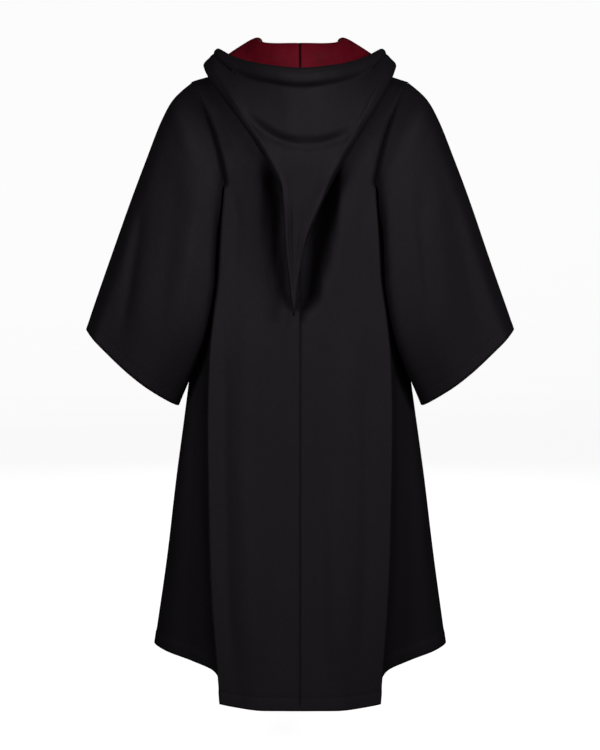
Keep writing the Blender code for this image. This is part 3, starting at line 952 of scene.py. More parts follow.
@dataclass
class SleeveForm:
    """The form of the left sleeve, from its cut's sizes."""

    rings: tuple[Ring, ...] = (
        Ring(0.2520, -0.085, 0.1680, 0.045, -0.318, 0.076, 0.35, 0.000),
        Ring(0.2810, -0.133, 0.1730, 0.060, -0.362, 0.072, 0.30, 0.000),
        Ring(0.3135, -0.213, 0.1740, 0.070, -0.425, 0.066, 0.25, 0.000),
        Ring(0.3450, -0.295, 0.1770, 0.078, -0.487, 0.062, 0.20, 0.002),
        Ring(0.3890, -0.417, 0.1970, 0.075, -0.586, 0.058, 0.10, 0.005),
        Ring(0.4395, -0.558, 0.2490, 0.035, -0.711, 0.056, 0.00, 0.011),
    )
    square: float = 0.75
    flatness: float = 0.85
    folds: tuple[Triple, ...] = (
        (0.12, 0.04, 0.007), (0.27, 0.05, 0.006), (0.72, 0.05, -0.008), (0.88, 0.04, -0.006))
    head: float = 0.16
    sewn: float = 0.0012
    seam: float = 0.0014
    wrap: float = 0.0038
    turn: float = 0.02

    def ring(self, ring: Ring, shares: np.ndarray) -> np.ndarray:
        """Places the points of one ring.

        Args:
            ring: its sizes.
            shares: how far round each point is, from the outer fold.

        Returns:
            The points.
        """
        cosine, sine = np.cos(shares * 2 * math.pi), np.sin(shares * 2 * math.pi)
        inward = (1.0 - np.copysign(np.abs(cosine) ** self.square, cosine)) / 2
        bulge = ring.depth * np.copysign(np.abs(sine) ** self.flatness, sine)
        outer = np.array([ring.outer_x, 0.0, ring.outer_z])
        inner = np.array([ring.inner_x, ring.inner_y, ring.inner_z])
        return mix(outer, inner, inward[:, None]) + np.stack(
            [-ring.slant * inward * bulge, bulge, -ring.bow * np.sin(math.pi * inward)], axis=1)

    def sheet(self, armhole: np.ndarray, spacing: float) -> Sheet:
        """Makes the close sheet of the left sleeve.

        Args:
            armhole: the seam line that the sleeve is sewn into.
            spacing: the widest step between points.

        Returns:
            The sheet; row 0 is sewn in and the last row is the cuff's edge.
        """
        steps = np.linalg.norm(np.roll(armhole, -1, axis=0) - armhole, axis=1)
        shares = np.concatenate([[0.0], np.cumsum(steps)[:-1]]) / steps.sum()
        lines = [self.ring(ring, shares) for ring in self.rings]
        under = ((1.0 - np.cos(shares * 2 * math.pi)) / 2)[:, None]
        outward = unit(mix(unit(lines[0] - armhole), np.array([1.0, 0.0, 0.0]), under ** 2))
        sewn = armhole + outward * self.sewn
        start = armhole + outward * mix(self.seam, self.wrap, under)
        knots = [0.0, self.turn] + list(np.linspace(self.head, 1.0, len(self.rings)))
        reach = np.linalg.norm(lines[-1] - lines[0], axis=1).max() / (1.0 - self.head)
        rows = int(math.ceil(reach / spacing))
        fold = sum(height * np.exp(-((shares - at) / width) ** 2)
                   for at, width, height in self.folds)
        points = np.zeros((len(shares), rows + 1, 3))
        for row in range(rows + 1):
            down = row / rows
            points[:, row] = through(knots, [sewn, start] + lines, down)
            points[:, row, 1] += fold * smooth(down)
        return Sheet(points, -1.0, closed=True)


# ---------------------------------------------------------------- the hood's form
class HoodLine(NamedTuple):
    """One line of the hood's cloth, from the neck seam over the bag to the rim."""

    at: float
    roll_out: float
    rise: float
    fold_x: float
    fold_y: float
    fold_z: float
    lean: float
    rim_x: float
    rim_y: float
    rim_z: float
    tilt: float
    depth: float


@dataclass
class HoodForm:
    """The form of the hood and of its lining, from their cut's sizes."""

    body: BodyForm
    lines: tuple[HoodLine, ...] = (
        HoodLine(0.00, 0.028, 0.015, 0.000, 0.160, -0.522, 0.012, 0.000, 0.166, -0.040, 4, 0.012),
        HoodLine(0.07, 0.027, 0.015, 0.009, 0.160, -0.450, 0.012, 0.020, 0.165, -0.039, 4, 0.014),
        HoodLine(0.14, 0.026, 0.015, 0.018, 0.160, -0.385, 0.010, 0.038, 0.160, -0.037, 5, 0.017),
        HoodLine(0.21, 0.025, 0.016, 0.031, 0.159, -0.328, 0.000, 0.055, 0.151, -0.034, 7, 0.021),
        HoodLine(0.30, 0.022, 0.019, 0.050, 0.156, -0.266, -0.010, 0.078, 0.136, -0.030, 10,
                 0.026),
        HoodLine(0.40, 0.016, 0.025, 0.093, 0.147, -0.190, -0.010, 0.106, 0.108, -0.022, 16,
                 0.030),
        HoodLine(0.50, 0.005, 0.029, 0.145, 0.124, -0.110, -0.008, 0.136, 0.066, -0.010, 32,
                 0.032),
        HoodLine(0.60, 0.001, 0.029, 0.194, 0.040, -0.026, 0.000, 0.168, 0.012, 0.010, 70, 0.026),
        HoodLine(0.72, 0.010, 0.027, 0.173, -0.055, -0.038, 0.000, 0.146, -0.062, -0.008, 105,
                 0.024),
        HoodLine(0.86, 0.016, 0.018, 0.112, -0.134, -0.092, 0.000, 0.096, -0.122, -0.052, 135,
                 0.024),
        HoodLine(1.00, 0.012, 0.008, 0.030, -0.146, -0.118, 0.000, 0.010, -0.135, -0.085, 150,
                 0.018),
    )
    side_at: float = 0.60
    columns: int = 28
    roll_rows: int = 3
    neck_wall_rows: int = 8
    outer_rows: int = 7
    collar: float = 0.0018
    neck_rise_pull: float = 1.6
    roll_pull: float = 0.039
    wall_pull: float = 0.080
    wall_spread: float = 1.25
    band_height: float = 0.036
    band_share: float = 0.45
    band_shares: tuple[float, ...] = (0.0, 0.2, 0.6, 1.0)
    band_proud: tuple[float, ...] = (0.0, 0.008, 0.009, 0.003)
    outer_bow: float = 0.006
    outer_full_length: float = 0.20
    outer_spread: float = 1.6
    lean_full: float = 0.45
    lean_none: float = 0.65
    lining_bottom: float = -0.27
    lining_kept_rows: int = 5
    lining_sag: float = 0.012
    lining_setback: float = 0.25
    lining_offset: float = 0.0022
    lining_loose: float = 0.0055
    rim_loose: float = 0.4

    @property
    def fold_row(self) -> int:
        """Returns the row at the bottom of the bag."""
        return self.roll_rows + self.neck_wall_rows + 1

    def line(self, at: float) -> list[np.ndarray]:
        """Places one line's points.

        Args:
            at: 0 at the centre back, 1 at the throat.

        Returns:
            The points from the neck seam to the rim.
        """
        key = HoodLine(*through([row.at for row in self.lines], self.lines, at))
        tilt = math.radians(key.tilt)
        facing = np.array([0.0, math.cos(tilt), math.sin(tilt)])
        neck = self.body.neckline(at, self.side_at) + np.array([0.0, 0.0, self.collar])
        away = unit(np.array([neck[0], neck[1], 0.0]))
        roll = neck + away * key.roll_out + np.array([0.0, 0.0, key.rise])
        fold = np.array([key.fold_x, key.fold_y, key.fold_z])
        rim = np.array([key.rim_x, key.rim_y, key.rim_z])
        inward = (rim + roll) / 2 - fold
        inward = unit(inward - facing * np.dot(inward, facing))
        turn = fold + inward * key.depth / 2
        low, high = turn - facing * key.depth / 2, turn + facing * key.depth / 2

        length = float(np.linalg.norm(rim - high))
        upward = np.array([0.0, 0.0, 1.0]) * (roll[2] - neck[2])
        away = unit(np.array([roll[0], roll[1], 0.0]))
        span = float(np.linalg.norm(low - roll))
        points = [hermite(neck, roll, upward * self.neck_rise_pull, away * self.roll_pull,
                          i / self.roll_rows) for i in range(self.roll_rows)]
        points += [hermite(roll, low, away * min(self.wall_pull, span), low - roll,
                           (i / self.neck_wall_rows) ** self.wall_spread)
                   for i in range(self.neck_wall_rows)]
        points += [low, fold]
        band = min(self.band_height, self.band_share * length)
        crease = mix(rim, high, band / length)
        fullness = min(1.0, length / self.outer_full_length)
        spread = mix(1.0, self.outer_spread, fullness)
        for i in range(self.outer_rows):
            share = 1.0 - (1.0 - i / self.outer_rows) ** spread
            bow = facing * self.outer_bow * fullness * math.sin(math.pi * share)
            points.append(mix(high, crease, share) + bow)
        points += [mix(crease, rim, share) + facing * proud * band / self.band_height
                   for share, proud in zip(self.band_shares, self.band_proud)]
        return points

    def hung(self, line: list[np.ndarray], across: float) -> np.ndarray:
        """Sets a line on its own side, with the tail's lean.

        Args:
            line: the line's points.
            across: -1 to 1, with 0 at the centre back.

        Returns:
            The moved points.
        """
        hanging = [row for row in self.lines if row.at <= self.side_at]
        points = np.array(line)
        pull = np.interp(points[:, 2], [row.fold_z for row in hanging],
                         [row.lean for row in hanging])
        fading = smooth((self.lean_none - abs(across)) / (self.lean_none - self.lean_full))
        points[:, 0] = points[:, 0] * math.copysign(1.0, across) + pull * fading
        return points

    @staticmethod
    def at_height(points: list[np.ndarray], z: float) -> np.ndarray:
        """Returns the point at a height on a run that only falls or only rises."""
        run = np.array(sorted((tuple(point) for point in points), key=lambda point: point[2]))
        return np.array([np.interp(z, run[:, 2], run[:, axis]) for axis in range(3)])

    def lining_line(self, at: float) -> list[np.ndarray]:
        """Places one line's points with the bag no deeper than its lining.

        Args:
            at: 0 at the centre back, 1 at the throat.

        Returns:
            The points from the neck seam to just short of the rim.
        """
        line = self.line(at)
        line[-1] = mix(line[-1], line[-2], self.lining_setback)
        if line[self.fold_row][2] >= self.lining_bottom:
            return line
        last, crease = self.fold_row - 1, self.fold_row + 1 + self.outer_rows
        for top, bottom in ((self.lining_kept_rows, last), (crease, self.fold_row + 1)):
            low, high = min(top, bottom), max(top, bottom)
            wall = line[low:high + 1]
            top_z, bottom_z = line[top][2], line[bottom][2]
            for row in range(low, high + 1):
                depth = (wall[row - low][2] - top_z) / (bottom_z - top_z)
                line[row] = self.at_height(wall, mix(top_z, self.lining_bottom, depth))
        middle = (line[last] + line[self.fold_row + 1]) / 2
        sag = min(self.lining_sag, (middle[2] - line[self.fold_row][2]) / 2)
        line[self.fold_row] = middle - np.array([0.0, 0.0, sag])
        return line

    def sheet(self, spacing: float, lining: bool = False) -> Sheet:
        """Makes the close sheet of the hood, or of the hood as its lining follows it.

        Args:
            spacing: the widest step between points.
            lining: whether the bag is only as deep as the lining.

        Returns:
            The sheet; row 0 is sewn to the neck and the last row is the rim.
        """
        shares = np.linspace(-1.0, 1.0, self.columns + 1)
        made = self.lining_line if lining else self.line
        grid = np.array([self.hung(made(abs(across)), across) for across in shares])
        close, _ = refined(grid, spacing)
        close, _ = refined(close.swapaxes(0, 1), spacing)
        return Sheet(close.swapaxes(0, 1), -1.0)


# ---------------------------------------------------------------- folds placed one by one
BACK_FOLDS = (
    Fold(View.BACK, ((0.048, -0.215), (0.022, -0.355), (0.001, -0.520)), 0.025, -0.020,
         fade=0.16),
    Fold(View.BACK, ((-0.052, -0.205), (-0.025, -0.350), (0.006, -0.520)), 0.030, -0.027,
         fade=0.16),
    Fold(View.BACK, ((-0.098, -0.180), (-0.096, -0.300), (-0.070, -0.430), (-0.062, -0.560)),
         0.020, 0.002),
    Fold(View.BACK, ((0.094, -0.190), (0.090, -0.330), (0.060, -0.500)), 0.018, 0.0015),
    Fold(View.BACK, ((0.101, -0.420), (0.105, -0.789), (0.098, -1.011), (0.092, -1.296)),
         0.026, 0.0045, fade=0.2),
    Fold(View.BACK, ((-0.081, -0.480), (-0.084, -0.789), (-0.078, -1.011), (-0.083, -1.296)),
         0.024, 0.0045, fade=0.2),
    Fold(View.BACK, ((0.150, -0.500), (0.152, -0.849), (0.143, -1.133), (0.130, -1.290)),
         0.014, -0.0035, fade=0.25),
    Fold(View.BACK, ((-0.130, -0.520), (-0.136, -0.849), (-0.127, -1.133), (-0.116, -1.290)),
         0.016, -0.004, fade=0.25),
    Fold(View.BACK, ((0.045, -0.640), (0.050, -0.900), (0.040, -1.298)), 0.018, -0.003),
    Fold(View.BACK, ((-0.040, -0.700), (-0.036, -0.950), (-0.048, -1.298)), 0.016, -0.003),
    Fold(View.BACK, ((0.186, -0.110), (0.160, -0.150), (0.138, -0.205)), 0.010, -0.003),
    Fold(View.BACK, ((-0.188, -0.120), (-0.165, -0.165), (-0.146, -0.240)), 0.011, -0.003),
    Fold(View.BACK, ((0.140, -0.245), (0.128, -0.330), (0.134, -0.450)), 0.012, -0.003),
    Fold(View.BACK, ((-0.138, -0.260), (-0.124, -0.360), (-0.130, -0.480)), 0.013, -0.0030),
    Fold(View.BACK, ((0.000, -0.300), (0.000, -0.800), (0.000, -1.306)), 0.0032, -0.0024,
         fade=0.02),
)
FRONT_FOLDS = (
    Fold(View.FRONT, ((0.150, -0.300), (0.160, -0.600), (0.172, -1.230)), 0.020, -0.005),
    Fold(View.FRONT, ((-0.144, -0.280), (-0.158, -0.650), (-0.166, -1.232)), 0.022, -0.005),
    Fold(View.FRONT, ((0.110, -0.240), (0.116, -0.500), (0.104, -0.900), (0.112, -1.240)),
         0.018, 0.004),
    Fold(View.FRONT, ((-0.106, -0.300), (-0.112, -0.560), (-0.120, -1.240)), 0.020, 0.0045),
    Fold(View.FRONT, ((0.060, -0.180), (0.066, -0.420), (0.058, -0.800), (0.064, -1.245)),
         0.014, -0.004),
    Fold(View.FRONT, ((-0.064, -0.210), (-0.060, -0.480), (-0.070, -0.860), (-0.062, -1.245)),
         0.015, -0.0045),
    Fold(View.FRONT, ((0.170, -0.130), (0.140, -0.200), (0.128, -0.310)), 0.012, -0.004),
    Fold(View.FRONT, ((-0.172, -0.140), (-0.146, -0.215), (-0.130, -0.340)), 0.013, -0.004),
    Fold(View.LEFT, ((0.020, -0.330), (0.028, -0.700), (0.022, -1.200)), 0.020, -0.005),
    Fold(View.LEFT, ((-0.045, -0.360), (-0.060, -0.760), (-0.074, -1.215)), 0.022, 0.006),
    Fold(View.LEFT, ((0.080, -0.420), (0.098, -0.800), (0.112, -1.220)), 0.016, 0.004),
    Fold(View.RIGHT, ((0.024, -0.350), (0.020, -0.740), (0.030, -1.200)), 0.021, -0.005),
    Fold(View.RIGHT, ((-0.040, -0.340), (-0.066, -0.800), (-0.070, -1.215)), 0.024, 0.006),
    Fold(View.RIGHT, ((0.078, -0.450), (0.096, -0.840), (0.116, -1.220)), 0.016, 0.004),
)
SLEEVE_FOLDS = (
    Fold(View.BACK, ((0.316, -0.250), (0.330, -0.380), (0.356, -0.530), (0.372, -0.590)),
         0.012, -0.0030, roll=0.0012, roll_width=0.016),
    Fold(View.BACK, ((0.236, -0.180), (0.250, -0.300), (0.266, -0.430), (0.284, -0.600)),
         0.016, -0.0018),
    Fold(View.BACK, ((0.206, -0.240), (0.214, -0.360), (0.232, -0.500), (0.262, -0.680)),
         0.014, 0.0018),
    Fold(View.BACK, ((0.280, -0.180), (0.296, -0.320), (0.318, -0.480), (0.330, -0.620)),
         0.018, 0.0018),
    Fold(View.BACK, ((-0.198, -0.210), (-0.206, -0.360), (-0.220, -0.480), (-0.240, -0.660)),
         0.016, -0.0022),
    Fold(View.BACK, ((-0.262, -0.190), (-0.276, -0.330), (-0.288, -0.460), (-0.302, -0.620)),
         0.019, 0.0022),
    Fold(View.BACK, ((-0.300, -0.220), (-0.326, -0.380), (-0.352, -0.500), (-0.378, -0.590)),
         0.015, -0.0018),
    Fold(View.BACK, ((-0.236, -0.260), (-0.244, -0.380), (-0.262, -0.560)), 0.010, -0.003),
    Fold(View.FRONT, ((0.200, -0.220), (0.220, -0.360), (0.262, -0.640)), 0.015, -0.006),
    Fold(View.FRONT, ((0.262, -0.170), (0.290, -0.340), (0.330, -0.600)), 0.016, -0.005),
    Fold(View.FRONT, ((0.300, -0.200), (0.330, -0.360), (0.372, -0.570)), 0.014, 0.005),
    Fold(View.FRONT, ((-0.204, -0.240), (-0.226, -0.400), (-0.270, -0.650)), 0.016, -0.006),
    Fold(View.FRONT, ((-0.250, -0.160), (-0.284, -0.330), (-0.318, -0.600)), 0.017, 0.005),
    Fold(View.FRONT, ((-0.296, -0.190), (-0.334, -0.380), (-0.366, -0.560)), 0.014, -0.005),
)
HOOD_FOLDS = (
    Fold(View.BACK, ((-0.130, -0.140), (-0.092, -0.166), (-0.047, -0.183), (0.000, -0.186),
                     (0.042, -0.176), (0.080, -0.152), (0.114, -0.121), (0.136, -0.099)),
         0.0110, -0.0065, roll=0.0035, roll_width=0.018, fade=0.25),
    Fold(View.BACK, ((0.034, -0.250), (0.030, -0.300), (0.026, -0.400), (0.018, -0.515)),
         0.0045, 0.0022, fade=0.2),
    Fold(View.BACK, ((0.018, -0.290), (0.019, -0.392), (0.014, -0.510)), 0.0040, -0.0030,
         fade=0.25),
    Fold(View.BACK, ((-0.010, -0.290), (0.001, -0.395), (0.008, -0.500)), 0.0045, -0.0026,
         fade=0.25),
    Fold(View.BACK, ((-0.090, -0.230), (-0.060, -0.262), (-0.030, -0.300)), 0.010, -0.002),
)
LINING_FOLDS = (
    Fold(View.BACK, ((0.084, -0.004), (0.060, -0.018), (0.030, -0.026)), 0.006, -0.0022,
         roll=0.0016, roll_width=0.008),
    Fold(View.BACK, ((-0.074, 0.004), (-0.050, -0.014), (-0.022, -0.020)), 0.007, -0.0018,
         roll=0.0012, roll_width=0.008),
)


# ---------------------------------------------------------------- material helpers
class Value:
    """A socket's number, on which sums add their Math nodes."""

    def __init__(self, paint: "Paint", socket: Socket) -> None:
        """Keeps the socket and the material it is in."""
        self.paint = paint
        self.socket = socket

    def _math(self, operation: str, first: "Value | float", second: "Value | float") -> "Value":
        """Returns the result of one Math node."""
        node = self.paint.node("ShaderNodeMath", {"operation": operation}, [first, second])
        return Value(self.paint, node.outputs[0])

    def __add__(self, other: "Value | float") -> "Value":
        """Returns the sum."""
        return self._math("ADD", self, other)

    __radd__ = __add__

    def __mul__(self, other: "Value | float") -> "Value":
        """Returns the product."""
        return self._math("MULTIPLY", self, other)

    __rmul__ = __mul__

    def sine(self) -> "Value":
        """Returns the sine."""
        return self._math("SINE", self, 0.0)


class Grain(NamedTuple):
    """A noise: its waves a metre, its detail and how it is stretched along each axis."""

    scale: float
    detail: float
    stretch: Triple = (1.0, 1.0, 1.0)


class Paint:
    """A material's nodes, added in plain steps."""

    noise_roughness: float = 0.55

    def __init__(self, name: str) -> None:
        """Starts a material that has only its shader and output.

        Args:
            name: the material's name.
        """
        self.material = bpy.data.materials.new(name)
        self.material.use_nodes = True
        self.tree = self.material.node_tree
        self.shader = self.tree.nodes["Principled BSDF"]
        place = self.node("ShaderNodeTexCoord")
        self.cloth = place.outputs["UV"]
        self.solid = place.outputs["Object"]

    def node(self, kind: str, settings: dict | None = None,
             sockets: dict | list | None = None) -> bpy.types.Node:
        """Adds one node.

        Args:
            kind: the node's type.
            settings: its own settings, such as an operation.
            sockets: values or links for its inputs, by name or in order.

        Returns:
            The node.
        """
        node = self.tree.nodes.new(kind)
        for name, value in (settings or {}).items():
            setattr(node, name, value)
        items = sockets.items() if isinstance(sockets, dict) else enumerate(sockets or [])
        for name, value in items:
            self.feed(node.inputs[name], value)
        return node

    def feed(self, socket: Socket, value: object) -> None:
        """Gives an input its value.

        Args:
            socket: the input.
            value: a value or a socket, which is linked, or a plain number or colour.
        """
        value = value.socket if isinstance(value, Value) else value
        if isinstance(value, Socket):
            self.tree.links.new(value, socket)
        else:
            socket.default_value = value

    def stretched(self, source: Socket, scale: Triple) -> Socket:
        """Returns coordinates scaled along each axis."""
        return self.node("ShaderNodeMapping", {}, {"Vector": source, "Scale": scale}).outputs[0]

    def noise(self, source: Socket, grain: Grain) -> Value:
        """Adds a noise.

        Args:
            source: the coordinates that it is read at.
            grain: its sizes.

        Returns:
            The noise, from 0 to 1.
        """
        sockets = {"Vector": self.stretched(source, grain.stretch), "Scale": grain.scale,
                   "Detail": grain.detail, "Roughness": self.noise_roughness}
        return Value(self, self.node("ShaderNodeTexNoise", {}, sockets).outputs["Fac"])

    def part(self, source: Socket, axis: int) -> Value:
        """Returns one part of a vector."""
        return Value(self, self.node("ShaderNodeSeparateXYZ", {}, [source]).outputs[axis])

    def wave(self, length: float, axis: int) -> Value:
        """Returns a wave of that length, from -1 to 1, along an axis of the cloth."""
        return self.part(self.stretched(self.cloth, (2.0 * math.pi / length,) * 3), axis).sine()

    def blend(self, share: Value, first: Triple, second: Triple | Socket) -> Socket:
        """Mixes two colours.

        Args:
            share: 0 for the first colour, 1 for the second.
            first: the first colour.
            second: the second colour, or the socket that has it.

        Returns:
            The mixed colour's socket.
        """
        other = second if isinstance(second, Socket) else (*second, 1.0)
        return self.node("ShaderNodeMix", {"data_type": "RGBA"},
                         {0: share, 6: (*first, 1.0), 7: other}).outputs[2]

    def spread(self, value: Value, low: float, high: float, to_low: float = 0.0,
               to_high: float = 1.0) -> Value:
        """Reads a value from one range into another and holds it at the ends.

        Args:
            value: the value.
            low: where the first range starts.
            high: where it ends.
            to_low: where the second range starts.
            to_high: where it ends.

        Returns:
            The value in the second range.
        """
        sockets = {"Value": value, "From Min": low, "From Max": high,
                   "To Min": to_low, "To Max": to_high}
        return Value(self, self.node("ShaderNodeMapRange", {"clamp": True}, sockets).outputs[0])

    def bump(self, height: Value, depth: float, strength: float,
             below: Socket | None = None) -> Socket:
        """Bends the surface by a height.

        Args:
            height: the height, from 0 to 1.
            depth: how many metres 1 stands for.
            strength: how much of the bend is taken.
            below: the normal it is laid on, if that is bent already.

        Returns:
            The bent normal's socket.
        """
        under = {} if below is None else {"Normal": below}
        sockets = {"Height": height, "Distance": depth, "Strength": strength, **under}
        return self.node("ShaderNodeBump", {}, sockets).outputs["Normal"]

    def finished(self, **sockets: object) -> bpy.types.Material:
        """Fills the shader's sockets.

        Args:
            sockets: what each is given; a socket's name has _ for each of its spaces.

        Returns:
            The material.
        """
        for name, value in sockets.items():
            self.feed(self.shader.inputs[name.replace("_", " ")], value)
        return self.material


@dataclass(frozen=True)
class CrepeCloth:
    """Black robe cloth: fine, slightly crinkled, with a faint soft sheen."""

    name: str = "black_crepe"
    deep: Triple = (0.0056, 0.0043, 0.0058)
    pale: Triple = (0.0080, 0.0064, 0.0083)
    roughness: tuple[float, float] = (0.64, 0.76)
    thread: float = 0.0011
    weave_depth: float = 0.00016
    crinkle_depth: float = 0.0011
    broad: Grain = Grain(7.0, 3.0, (1.0, 1.0, 0.5))
    slub: Grain = Grain(1.0, 2.0, (900.0, 60.0, 1.0))
    crinkle: Grain = Grain(190.0, 4.0, (1.0, 1.0, 0.55))

    def material(self) -> bpy.types.Material:
        """Builds the finish.

        Returns:
            The cloth's material.
        """
        paint = Paint(self.name)
        weave = paint.wave(self.thread, 0) * paint.wave(self.thread, 1) * 0.5 + 0.5
        broad = paint.noise(paint.solid, self.broad)
        slub = paint.noise(paint.cloth, self.slub)
        crinkle = paint.noise(paint.solid, self.crinkle)
        tone = paint.spread(broad * 0.55 + slub * 0.25 + crinkle * 0.20, 0.34, 0.66)
        rough = paint.spread(broad * 0.6 + crinkle * 0.4, 0.35, 0.65, *self.roughness)
        coarse = paint.bump(crinkle, self.crinkle_depth, 0.35)
        fine = paint.bump(weave * 0.7 + slub * 0.3, self.weave_depth, 0.5, coarse)
        return paint.finished(
            Base_Color=paint.blend(tone, self.deep, self.pale), Roughness=rough, Normal=fine,
            Metallic=0.0, Specular_IOR_Level=0.33, Sheen_Weight=0.008, Sheen_Roughness=0.40,
            Sheen_Tint=(0.80, 0.78, 0.86, 1.0), Specular_Tint=(1.0, 0.93, 1.0, 1.0))


@dataclass(frozen=True)
class SatinLining:
    """Dark red lining: smooth and close, with dark thread and painted shade where its two halves
    are sewn together.
    """

    name: str = "red_satin"
    deep: Triple = (0.118, 0.0028, 0.0098)
    pale: Triple = (0.198, 0.0050, 0.0162)
    roughness: tuple[float, float] = (0.54, 0.68)
    thread: float = 0.0009
    # the seam's colour: dark thread, with painted shade for the seam's groove
    seam: Triple = (0.006, 0.0006, 0.0010)
    seam_thread_and_shade_half_width: float = 0.0034
    depth: float = 0.00012
    broad: Grain = Grain(16.0, 3.0)
    threads: Grain = Grain(1.0, 2.0, (70.0, 1100.0, 1.0))

    def material(self) -> bpy.types.Material:
        """Builds the finish.

        Returns:
            The lining's material.
        """
        paint = Paint(self.name)
        threads = paint.noise(paint.cloth, self.threads)
        broad = paint.noise(paint.solid, self.broad)
        rows = paint.wave(self.thread, 1) * 0.5 + 0.5
        tone = paint.spread(broad * 0.6 + threads * 0.4, 0.35, 0.65)
        # Painted shade: within a few millimetres of the middle the base colour falls to the
        # seam's dark colour, for dark thread and the shade in the seam.
        across = paint.part(paint.solid, 0)
        beside = paint.spread(across * across, 0.0, self.seam_thread_and_shade_half_width ** 2)
        return paint.finished(
            Base_Color=paint.blend(beside, self.seam, paint.blend(tone, self.deep, self.pale)),
            Roughness=paint.spread(threads, 0.35, 0.65, *self.roughness),
            Normal=paint.bump(threads * 0.6 + rows * 0.4, self.depth, 0.5),
            Metallic=0.0, Specular_IOR_Level=0.09, Sheen_Weight=0.008,
            Sheen_Roughness=0.35, Sheen_Tint=(1.0, 0.45, 0.50, 1.0))


@dataclass(frozen=True)
class Thread:
    """Sewing thread: twisted, a little glossier than the cloth."""

    name: str = "sewing_thread"
    deep: Triple = (0.010, 0.009, 0.011)
    pale: Triple = (0.030, 0.028, 0.032)
    twist: Grain = Grain(900.0, 2.0)
    depth: float = 0.0002

    def material(self) -> bpy.types.Material:
        """Builds the finish.

        Returns:
            The thread's material.
        """
        paint = Paint(self.name)
        twist = paint.noise(paint.solid, self.twist)
        tone = paint.spread(twist, 0.35, 0.65)
        return paint.finished(Base_Color=paint.blend(tone, self.deep, self.pale),
                              Normal=paint.bump(twist, self.depth, 0.4),
                              Roughness=0.5, Metallic=0.0)


@dataclass(frozen=True)
class StudioPaper:
    """The plain pale paper of the floor and the backdrop, lit from behind."""

    name: str = "studio_paper"
    shade: Triple = (0.80, 0.80, 0.805)
    paler: float = 1.02
    grain: Grain = Grain(40.0, 3.0)
    glow: float = 0.92

    def material(self) -> bpy.types.Material:
        """Builds the finish.

        Returns:
            The paper's material.
        """
        paint = Paint(self.name)
        tone = paint.spread(paint.noise(paint.solid, self.grain), 0.3, 0.7)
        paler = tuple(part * self.paler for part in self.shade)
        return paint.finished(Base_Color=paint.blend(tone, self.shade, paler),
                              Roughness=0.9, Metallic=0.0, Emission_Color=(1.0, 1.0, 1.0, 1.0),
                              Emission_Strength=self.glow)


# ---------------------------------------------------------------- stitching
@dataclass
class Stitching:
    """Lines of stitches, each a small rounded length of thread that follows the cloth."""

    thread: bpy.types.Material
    pitch: float = 0.0042
    length: float = 0.0029
    width: float = 0.00055
    sides: int = 5
    rings: int = 4

    def tree(self) -> bpy.types.NodeTree:
        """Builds the nodes that lay stitches along a line.

        Returns:
            The node tree, with inputs for the line, the sizes and the thread.
        """
        tree = bpy.data.node_groups.new("stitches", "GeometryNodeTree")
        for name, way, kind in (
                ("Line", "INPUT", "Geometry"), ("Pitch", "INPUT", "Float"),
                ("Length", "INPUT", "Float"), ("Width", "INPUT", "Float"),
                ("Thread", "INPUT", "Material"), ("Stitches", "OUTPUT", "Geometry")):
            tree.interface.new_socket(name, in_out=way, socket_type="NodeSocket" + kind)
        given, made, curve, spaced, tangent, turned, bead, sizes, laid, real, dyed = (
            tree.nodes.new(kind) for kind in (
                "NodeGroupInput", "NodeGroupOutput", "GeometryNodeMeshToCurve",
                "GeometryNodeResampleCurve", "GeometryNodeInputTangent",
                "FunctionNodeAlignRotationToVector", "GeometryNodeMeshUVSphere",
                "ShaderNodeCombineXYZ", "GeometryNodeInstanceOnPoints",
                "GeometryNodeRealizeInstances", "GeometryNodeSetMaterial"))
        spaced.mode = "LENGTH"
        turned.axis = "Z"
        for name, value in (("Segments", self.sides), ("Rings", self.rings), ("Radius", 0.5)):
            bead.inputs[name].default_value = value
        for start, output, end, socket in (
                (given, "Line", curve, "Mesh"), (curve, "Curve", spaced, "Curve"),
                (given, "Pitch", spaced, "Length"), (spaced, "Curve", laid, "Points"),
                (bead, "Mesh", laid, "Instance"), (tangent, "Tangent", turned, "Vector"),
                (turned, "Rotation", laid, "Rotation"), (given, "Width", sizes, "X"),
                (given, "Width", sizes, "Y"), (given, "Length", sizes, "Z"),
                (sizes, "Vector", laid, "Scale"), (laid, "Instances", real, "Geometry"),
                (real, "Geometry", dyed, "Geometry"), (given, "Thread", dyed, "Material"),
                (dyed, "Geometry", made, "Stitches")):
            tree.links.new(start.outputs[output], end.inputs[socket])
        return tree

    def sew(self, name: str, lines: list[np.ndarray]) -> bpy.types.Object:
        """Sews lines of stitches and turns them into one plain mesh.

        Args:
            name: the piece's name.
            lines: the points of each line, on the cloth's outside.

        Returns:
            The piece.
        """
        points, joins = [], []
        for line in lines:
            first = len(points)
            points += [tuple(point) for point in line]
            joins += [(first + i, first + i + 1) for i in range(len(line) - 1)]
        path = bpy.data.meshes.new(name + "_path")
        path.from_pydata(points, joins, [])
        work = placed(name + "_path", path)
        tree = bpy.data.node_groups.get("stitches") or self.tree()
        sewing = work.modifiers.new("Stitches", "NODES")
        sewing.node_group = tree
        values = {"Pitch": self.pitch, "Length": self.length, "Width": self.width,
                  "Thread": self.thread}
        for item in tree.interface.items_tree:
            if item.in_out == "INPUT" and item.name in values:
                sewing[item.identifier] = values[item.name]
        graph = bpy.context.evaluated_depsgraph_get()
        mesh = bpy.data.meshes.new_from_object(work.evaluated_get(graph))
        mesh.name = name
        mesh.shade_smooth()
        bpy.data.objects.remove(work, do_unlink=True)
        piece = placed(name, mesh)
        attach(piece, "root")
        return piece


# ---------------------------------------------------------------- the garment
@dataclass(frozen=True)
class Cut:
    """How a piece was cut: its flat size in metres and its flat area."""

    flat: tuple[float, float]
    area: float


